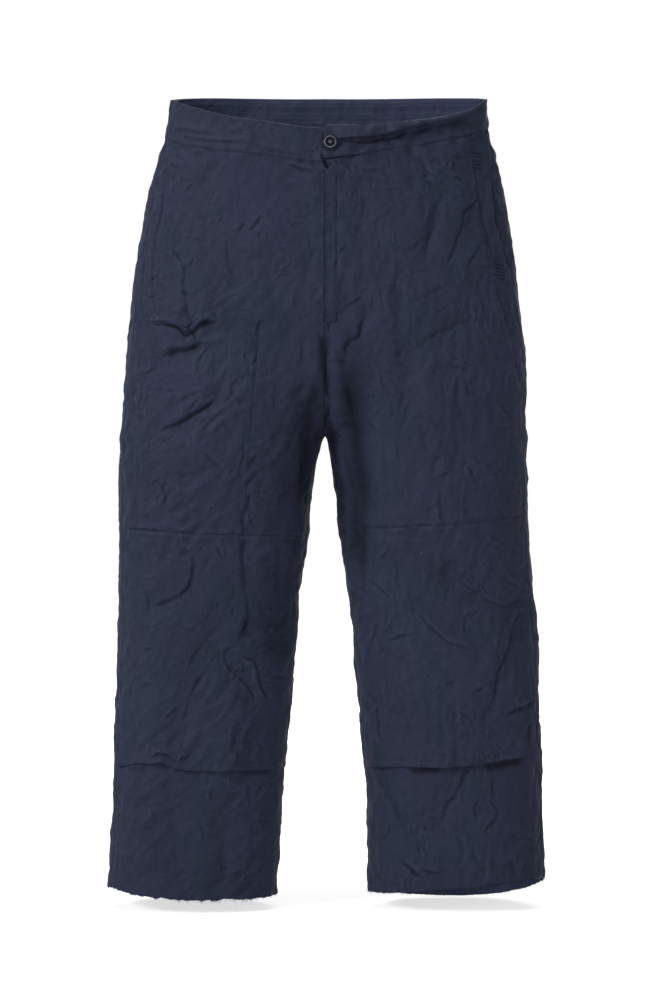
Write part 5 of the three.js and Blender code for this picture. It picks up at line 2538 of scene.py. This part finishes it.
@dataclass
class Stitching:
    """All the visible stitching, row by row."""

    panels: dict[str, Panel]
    bands: dict[str, Band]

    def build(self, wardrobe: Wardrobe) -> None:
        """Sew each part of the trousers.

        Args:
            wardrobe: The materials.
        """
        self.pocket().build("stitching_pocket", wardrobe, Slot.SHELL)
        self.knees().build("stitching_knees", wardrobe, Slot.SHELL)
        self.fly().build("stitching_fly", wardrobe, Slot.SHELL)
        self.sides().build("stitching_sides", wardrobe, Slot.SHELL)
        self.tack().build("tack_pocket", wardrobe, Slot.SHELL, wardrobe.pale)
        self.waist().build("stitching_waistband", wardrobe, Slot.BAND)
        self.seat().build("stitching_back", wardrobe, Slot.SHELL)

    def pocket(self) -> Sewing:
        """Two rows along the pocket's inner edge and one along its mouth.

        Returns:
            The stitches.
        """
        sewing = Sewing(pitch=3.0, length=2.3, thick=0.24)
        sheet = self.panels["thigh_pocket_right"].sheet
        sewing.row(sheet.beside(Edge.START, 2.0))
        sewing.row(sheet.beside(Edge.START, 8.0))
        sewing.row(sheet.beside(Edge.TOP, 2.6, 0.0, 0.97))
        sewing.tack(sheet.drawn(((-160, -254), (-157, -246))), 2.0)
        return sewing

    def knees(self) -> Sewing:
        """A row under each knee seam and one above each loose hem, with tacks at the corners.

        Returns:
            The stitches.
        """
        sewing = Sewing(pitch=3.1, length=2.4, thick=0.22)
        for side in Side:
            sheet = self.panels[f"knee_panel_{side.word}"].sheet
            sewing.row(sheet.beside(Edge.TOP, 7.0))
            sewing.row(sheet.beside(Edge.BOTTOM, 8.5))
            sewing.row(sheet.beside(Edge.START, 2.0, 0.0, 0.94))
            sewing.row(sheet.beside(Edge.END, 2.0, 0.0, 0.7))
        for side, first, last in ((Side.LEFT, 0.74, 0.775), (Side.RIGHT, 0.9, 0.935)):
            sheet = self.panels[f"knee_panel_{side.word}"].sheet
            sewing.tack(sheet.beside(Edge.END, 1.6, first, last), 3.0)
        return sewing

    def fly(self) -> Sewing:
        """The strip's two rows and the curved row that holds the fly's facing.

        Returns:
            The stitches.
        """
        sewing = Sewing(pitch=3.0, length=2.3, thick=0.21)
        strip = self.panels["fly_placket"].sheet
        sewing.row(strip.beside(Edge.END, 1.8))
        sewing.row(strip.beside(Edge.START, 1.8))
        front = self.panels["front_left"].sheet
        curve = ((42, -52), (43, -110), (42, -170), (38, -198), (28, -220), (15, -236),
                 (3, -244))
        sewing.row(front.drawn(curve, 10))
        sewing.tack(front.drawn(((4, -240), (4, -250))), 2.4)
        return sewing

    def sides(self) -> Sewing:
        """Rows beside the pocket slits, and their tacks.

        Returns:
            The stitches.
        """
        sewing = Sewing(pitch=3.0, length=2.3, thick=0.21)
        left = self.panels["front_left"].sheet
        for first, last, top, gap, width in (
            (172, 183, -41, 4.4, 1.3), (200, 210, -172, 4.0, 1.2),
        ):
            for k in range(5):
                v = top - gap * k
                sewing.tack(left.drawn(((first, v + 1.0), (last, v - 0.4))), width)
        right = self.panels["front_right"].sheet
        sewing.tack(right.drawn(((-205, -209), (-199, -208))), 1.4)
        sewing.row(right.drawn(((-171, -30), (-177, -80), (-183, -130), (-188, -200))))
        sewing.row(left.drawn(((168, -26), (176, -80), (188, -140), (197, -172))))
        return sewing

    def tack(self) -> Sewing:
        """The paler tack at the foot of the right side pocket.

        Returns:
            The stitches.
        """
        sewing = Sewing()
        right = self.panels["front_right"].sheet
        sewing.tack(right.drawn(((-203, -236), (-199, -229), (-195, -236))), 1.1)
        return sewing

    def waist(self) -> Sewing:
        """Rows round the waistband, on its outside and on the inside of the back.

        Returns:
            The stitches.
        """
        sewing = Sewing(pitch=3.2, length=2.5, thick=0.21)
        right = self.bands["waistband_right"].sheet
        for edge, inset in ((Edge.BOTTOM, 2.4), (Edge.BOTTOM, 12.0), (Edge.TOP, 3.0)):
            sewing.row(right.beside(edge, inset, 0.1, 1))
        for name in ("waistband_left", "waistband_left_end"):
            sewing.row(self.bands[name].sheet.beside(Edge.BOTTOM, 2.4))
        back = self.bands["waistband_back"]
        for depth in (2.5, 12.0, 22.0):
            sewing.row(back.sheet.beside(Edge.TOP, depth))
        sewing.row(back.sheet.beside(Edge.BOTTOM, 2.4))
        for depth in (9.5, 19.5, 30.0):
            sewing.row(back.inner.beside(Edge.BOTTOM, depth))
        return sewing

    def seat(self) -> Sewing:
        """A row beside the seat seam and beside each back side seam.

        Returns:
            The stitches.
        """
        sewing = Sewing(pitch=3.4, length=2.6, thick=0.21)
        for side in Side:
            sheet = self.panels[f"back_{side.word}"].sheet
            sewing.row(sheet.beside(Edge.START, 6.0))
            sewing.row(sheet.beside(Edge.END, 6.0, 0.0, 0.4))
        return sewing


@dataclass
class Hems:
    """Fibres that hang from the raw hems, and lint on the cloth.

    Attributes:
        panels: The panels, by name.
        longest: Length that no fibre of the fray passes.
    """

    panels: dict[str, Panel]
    longest: float = 4.0

    def build(self, wardrobe: Wardrobe) -> None:
        """Make the fray of each hem, a few long pale threads and the lint.

        Args:
            wardrobe: The materials.
        """
        numbers = np.random.default_rng(5)
        for side in Side:
            self.fray(side, numbers).build(f"hem_fray_{side.word}", 0.2, wardrobe.thread, 3)
        self.threads(numbers).build("hem_threads", 0.2, wardrobe.lint, 4)
        self.lint(numbers).build("lint", 0.28, wardrobe.lint, 6)

    def fray(self, side: Side, numbers: np.random.Generator) -> Fibres:
        """The short fibres of one hem, in tufts on the right leg.

        Args:
            side: The leg.
            numbers: Gives their places and lengths.

        Returns:
            The fibres.
        """
        fray = Fibres()
        for name, count in ((f"front_{side.word}", 760), (f"back_{side.word}", 560)):
            sheet = self.panels[name].sheet
            columns = np.sort(numbers.uniform(0, sheet.points.shape[1] - 2, count))
            points = fray.hang(sheet, columns, -0.4, (0, 0, -1.0), (0.55, 0.3, 0.25), numbers)
            tufts = smoothstep(Grain(6).at(points, (7, 50, 50)), -0.1, 0.5)
            tufts = 1 + 3 * hill(points[:, 0], -105, 62) * tufts
            loose = (0.4 + numbers.gamma(1.3, 0.5, count)) * tufts
            fray.lengths.append(np.minimum(loose, self.longest))
        return fray

    def threads(self, numbers: np.random.Generator) -> Fibres:
        """The pale threads of the right hem's middle and of the left hem's outer corner.

        Args:
            numbers: Gives their places and lengths.

        Returns:
            The threads.
        """
        threads = Fibres()
        for name, first, last, count, longest in (
            ("front_right", -170, -104, 26, 3.2), ("front_left", 242, 262, 12, 4.5),
        ):
            sheet = self.panels[name].sheet
            edge = sheet.points[-1, :, 0]
            order = np.argsort(edge)
            x = numbers.uniform(first, last, count)
            columns = np.interp(x, edge[order], order.astype(float))
            threads.hang(sheet, columns, 0.3, (0.2, 0, -0.8), (0.9, 0.3, 0.3), numbers)
            threads.lengths.append(numbers.uniform(1.2, longest, count))
        return threads

    def lint(self, numbers: np.random.Generator) -> Fibres:
        """A few specks of lint on the cloth.

        Args:
            numbers: Gives their directions.

        Returns:
            The specks.
        """
        spots = (("front_right", (-196, -167)), ("thigh_pocket_right", (-131, -453)),
                 ("thigh_pocket_right", (-178, -376)), ("knee_panel_left", (113, -508)),
                 ("front_left", (205, -401)), ("thigh_pocket_right", (-157, -250)))
        found = [self.panels[name].sheet.drawn((spot, spot), 1) for name, spot in spots]
        roots, facing = (np.concatenate([part[:1] for part in parts]) for parts in zip(*found))
        ways = unit(np.cross(facing, numbers.normal(size=facing.shape)))
        return Fibres([roots + 0.25 * facing], [ways], [np.full(len(spots), 1.3)])


# ---------------------------------------------------------------- button
@dataclass
class Button:
    """The fly's tack button: a raised rim round a sunk middle with a rivet head.

    Attributes:
        radius: Radius over the rim.
        high: Height of the rim.
        x: Place across of its middle.
        z: Place up of its middle.
        turns: Points round it.
    """

    radius: float = 9.0
    high: float = 3.4
    x: float = 6.3
    z: float = -38.6
    turns: int = 72

    def seat(self) -> tuple[Array, Array]:
        """Where its foot lies and which way it faces.

        Returns:
            The point and the direction.
        """
        leg = LEGS[Side.LEFT]
        z = np.array(self.z)
        turn = leg.turn_at(np.array(self.x), z)
        normal = leg.outward(turn, z)
        return leg.point(turn, z) + normal * (OVER_LIFT + 0.3), normal

    def spun(self, profile: Array) -> tuple[Array, Array]:
        """Spin a profile of radius and height about the button's axis.

        Args:
            profile: Radius and height, from the foot to the middle of the top.

        Returns:
            The points and the faces.
        """
        foot, axis = self.seat()
        side = unit(np.cross(axis, (0, 0, 1.0)))
        up = np.cross(side, axis)
        angle = np.arange(self.turns) * 2 * pi / self.turns
        ring = side * np.cos(angle)[:, None] + up * np.sin(angle)[:, None]
        points = foot + profile[:, None, 1:] * axis + profile[:, None, :1] * ring[None]
        index = np.arange(len(profile) * self.turns).reshape(len(profile), -1)
        index = np.concatenate([index, index[:, :1]], 1)
        faces = np.stack([index[:-1, :-1], index[:-1, 1:], index[1:, 1:], index[1:, :-1]], -1)
        return points, faces.reshape(-1, 4)

    def build(self, wardrobe: Wardrobe) -> bpy.types.Object:
        """Make the button.

        Args:
            wardrobe: The materials.

        Returns:
            The button.
        """
        rim, high = self.radius, self.high
        controls = np.array([
            (0.35, 0), (rim - 2.0, 0), (rim - 0.9, 0.2), (rim - 0.2, 0.9), (rim, 1.7),
            (rim - 0.3, 2.4), (rim - 1.2, 2.7), (rim - 2.0, 2.9), (rim - 2.6, high),
            (rim - 3.2, 3.2), (rim - 3.8, 2.2), (rim - 4.3, 1.2), (3.2, 0.9), (2.6, 1.1),
            (2.2, 2.1), (1.4, 2.6), (0.35, 2.7),
        ])
        profile = spline(controls, 3)
        points, faces = self.spun(profile)
        # A painted highlight ring on the rim's ridge and a painted highlight spot in the middle.
        ridge = 0.8 * hill(profile[:, 0], rim - 2.6, 0.32) * (profile[:, 1] > 2)
        spot = 0.4 * hill(profile[:, 0], 1.2, 0.7) * (profile[:, 1] > 2)
        worn = (ridge + spot)[:, None] + np.zeros(self.turns)
        count = self.turns
        last = len(points) * count - count
        caps = [list(range(count))[::-1], list(range(last, last + count))]
        piece = make_object("button_metal", points, [*faces.tolist(), *caps], worn=worn)
        return place_piece(piece, wardrobe.metal, "button")


# ---------------------------------------------------------------- studio
@dataclass
class Studio:
    """The camera, the white floor and the soft lights, in metres and watts.

    Attributes:
        floor: Height of the floor.
        eye: Where the camera stands.
        lens: Its focal length, millimetres.
        film: Its film's width, millimetres.
        sight: How far it sees.
    """

    floor: float = -0.921
    eye: tuple[float, float, float] = (0.0129, -3.2, -0.451)
    lens: float = 97.7
    film: float = 36
    sight: float = 100

    def build(self) -> None:
        """Set everything up."""
        self.camera()
        self.ground()
        self.lights()

    def camera(self) -> None:
        """A level camera straight in front."""
        data = bpy.data.cameras.new("camera")
        data.lens, data.sensor_width, data.clip_end = self.lens, self.film, self.sight
        camera = bpy.data.objects.new("camera", data)
        camera.location = self.eye
        camera.rotation_euler = (radians(90), 0, 0)
        bpy.context.collection.objects.link(camera)
        bpy.context.scene.camera = camera

    def ground(self) -> None:
        """A wide floor that glows white but throws no light on the trousers."""
        half = 14000
        points = np.array([
            (-half, -half, 0), (half, -half, 0), (half, half, 0), (-half, half, 0),
        ], float) + (0, 0, self.floor / MM)
        floor = make_object("floor", points, [(0, 1, 2, 3)])
        floor.data.materials.append(FloorFinish().material())
        lit = bpy.data.collections.new("lit by the floor")
        lit.objects.link(floor)
        floor.light_linking.receiver_collection = lit

    def area(self, name: str, place: tuple[float, float, float], size: float, power: float,
             aim: tuple[float, float, float] = (0.0, 0.0, -0.45)) -> None:
        """Add a square light that faces a point.

        Args:
            name: The light's name.
            place: Where it stands.
            size: Its width.
            power: Its power, watts.
            aim: The point that it faces.
        """
        data = bpy.data.lights.new(name, "AREA")
        data.energy, data.size = power, size
        light = bpy.data.objects.new(name, data)
        light.location = place
        way = Vector(aim) - Vector(place)
        light.rotation_euler = way.to_track_quat("-Z", "Y").to_euler()
        bpy.context.collection.objects.link(light)

    def lights(self) -> None:
        """A key from the upper left, a weak fill, a back light and a room white round about."""
        self.area("key", (-4.7, -3.6, 2.3), 1.5, 265)
        self.area("fill", (3.0, -2.6, 0.4), 2.0, 18)
        self.area("top", (-0.3, -0.3, 2.4), 1.6, 30, aim=(0.0, 0.05, 0.0))
        self.area("back", (0.9, 3.8, 1.5), 2.0, 90)
        self.area("low", (0.3, -2.2, -0.86), 0.7, 7, aim=(0.0, 0.0, -0.93))
        room = Graph(bpy.data.worlds.new("white room"))
        place = room.node("ShaderNodeTexCoord").out("Generated")
        glow = room.node("ShaderNodeMapRange", {}, {
            "Value": room.node("ShaderNodeSeparateXYZ", {}, {0: place}).out("Z"),
            "From Min": 0.20, "From Max": 0.32, "To Min": 1.02, "To Max": 0.14,
        })
        white = room.node("ShaderNodeBackground", {}, {
            "Color": (1.0, 1.0, 1.0), "Strength": glow.out(),
        })
        room.node("ShaderNodeOutputWorld", {}, {"Surface": white.out()})
        bpy.context.scene.world = room.owner
        bpy.context.scene.view_settings.view_transform = "Standard"
        bpy.context.scene.view_settings.look = "None"


def main() -> None:
    """Build the trousers and the studio, and report each piece."""
    Studio().build()
    wardrobe = Wardrobe()
    legs = panels()
    for panel in legs.values():
        panel.build(wardrobe)
    waist = bands()
    for band in waist.values():
        band.build(wardrobe)
    Stitching(legs, waist).build(wardrobe)
    Hems(legs).build(wardrobe)
    Button().build(wardrobe)
    triangles = sum(
        sum(len(face.vertices) - 2 for face in piece.data.polygons)
        for piece in bpy.data.objects if piece.type == "MESH" and not piece.hide_render
    )
    log.info("%d triangles in all", triangles)


if __name__ == "__main__":
    main()
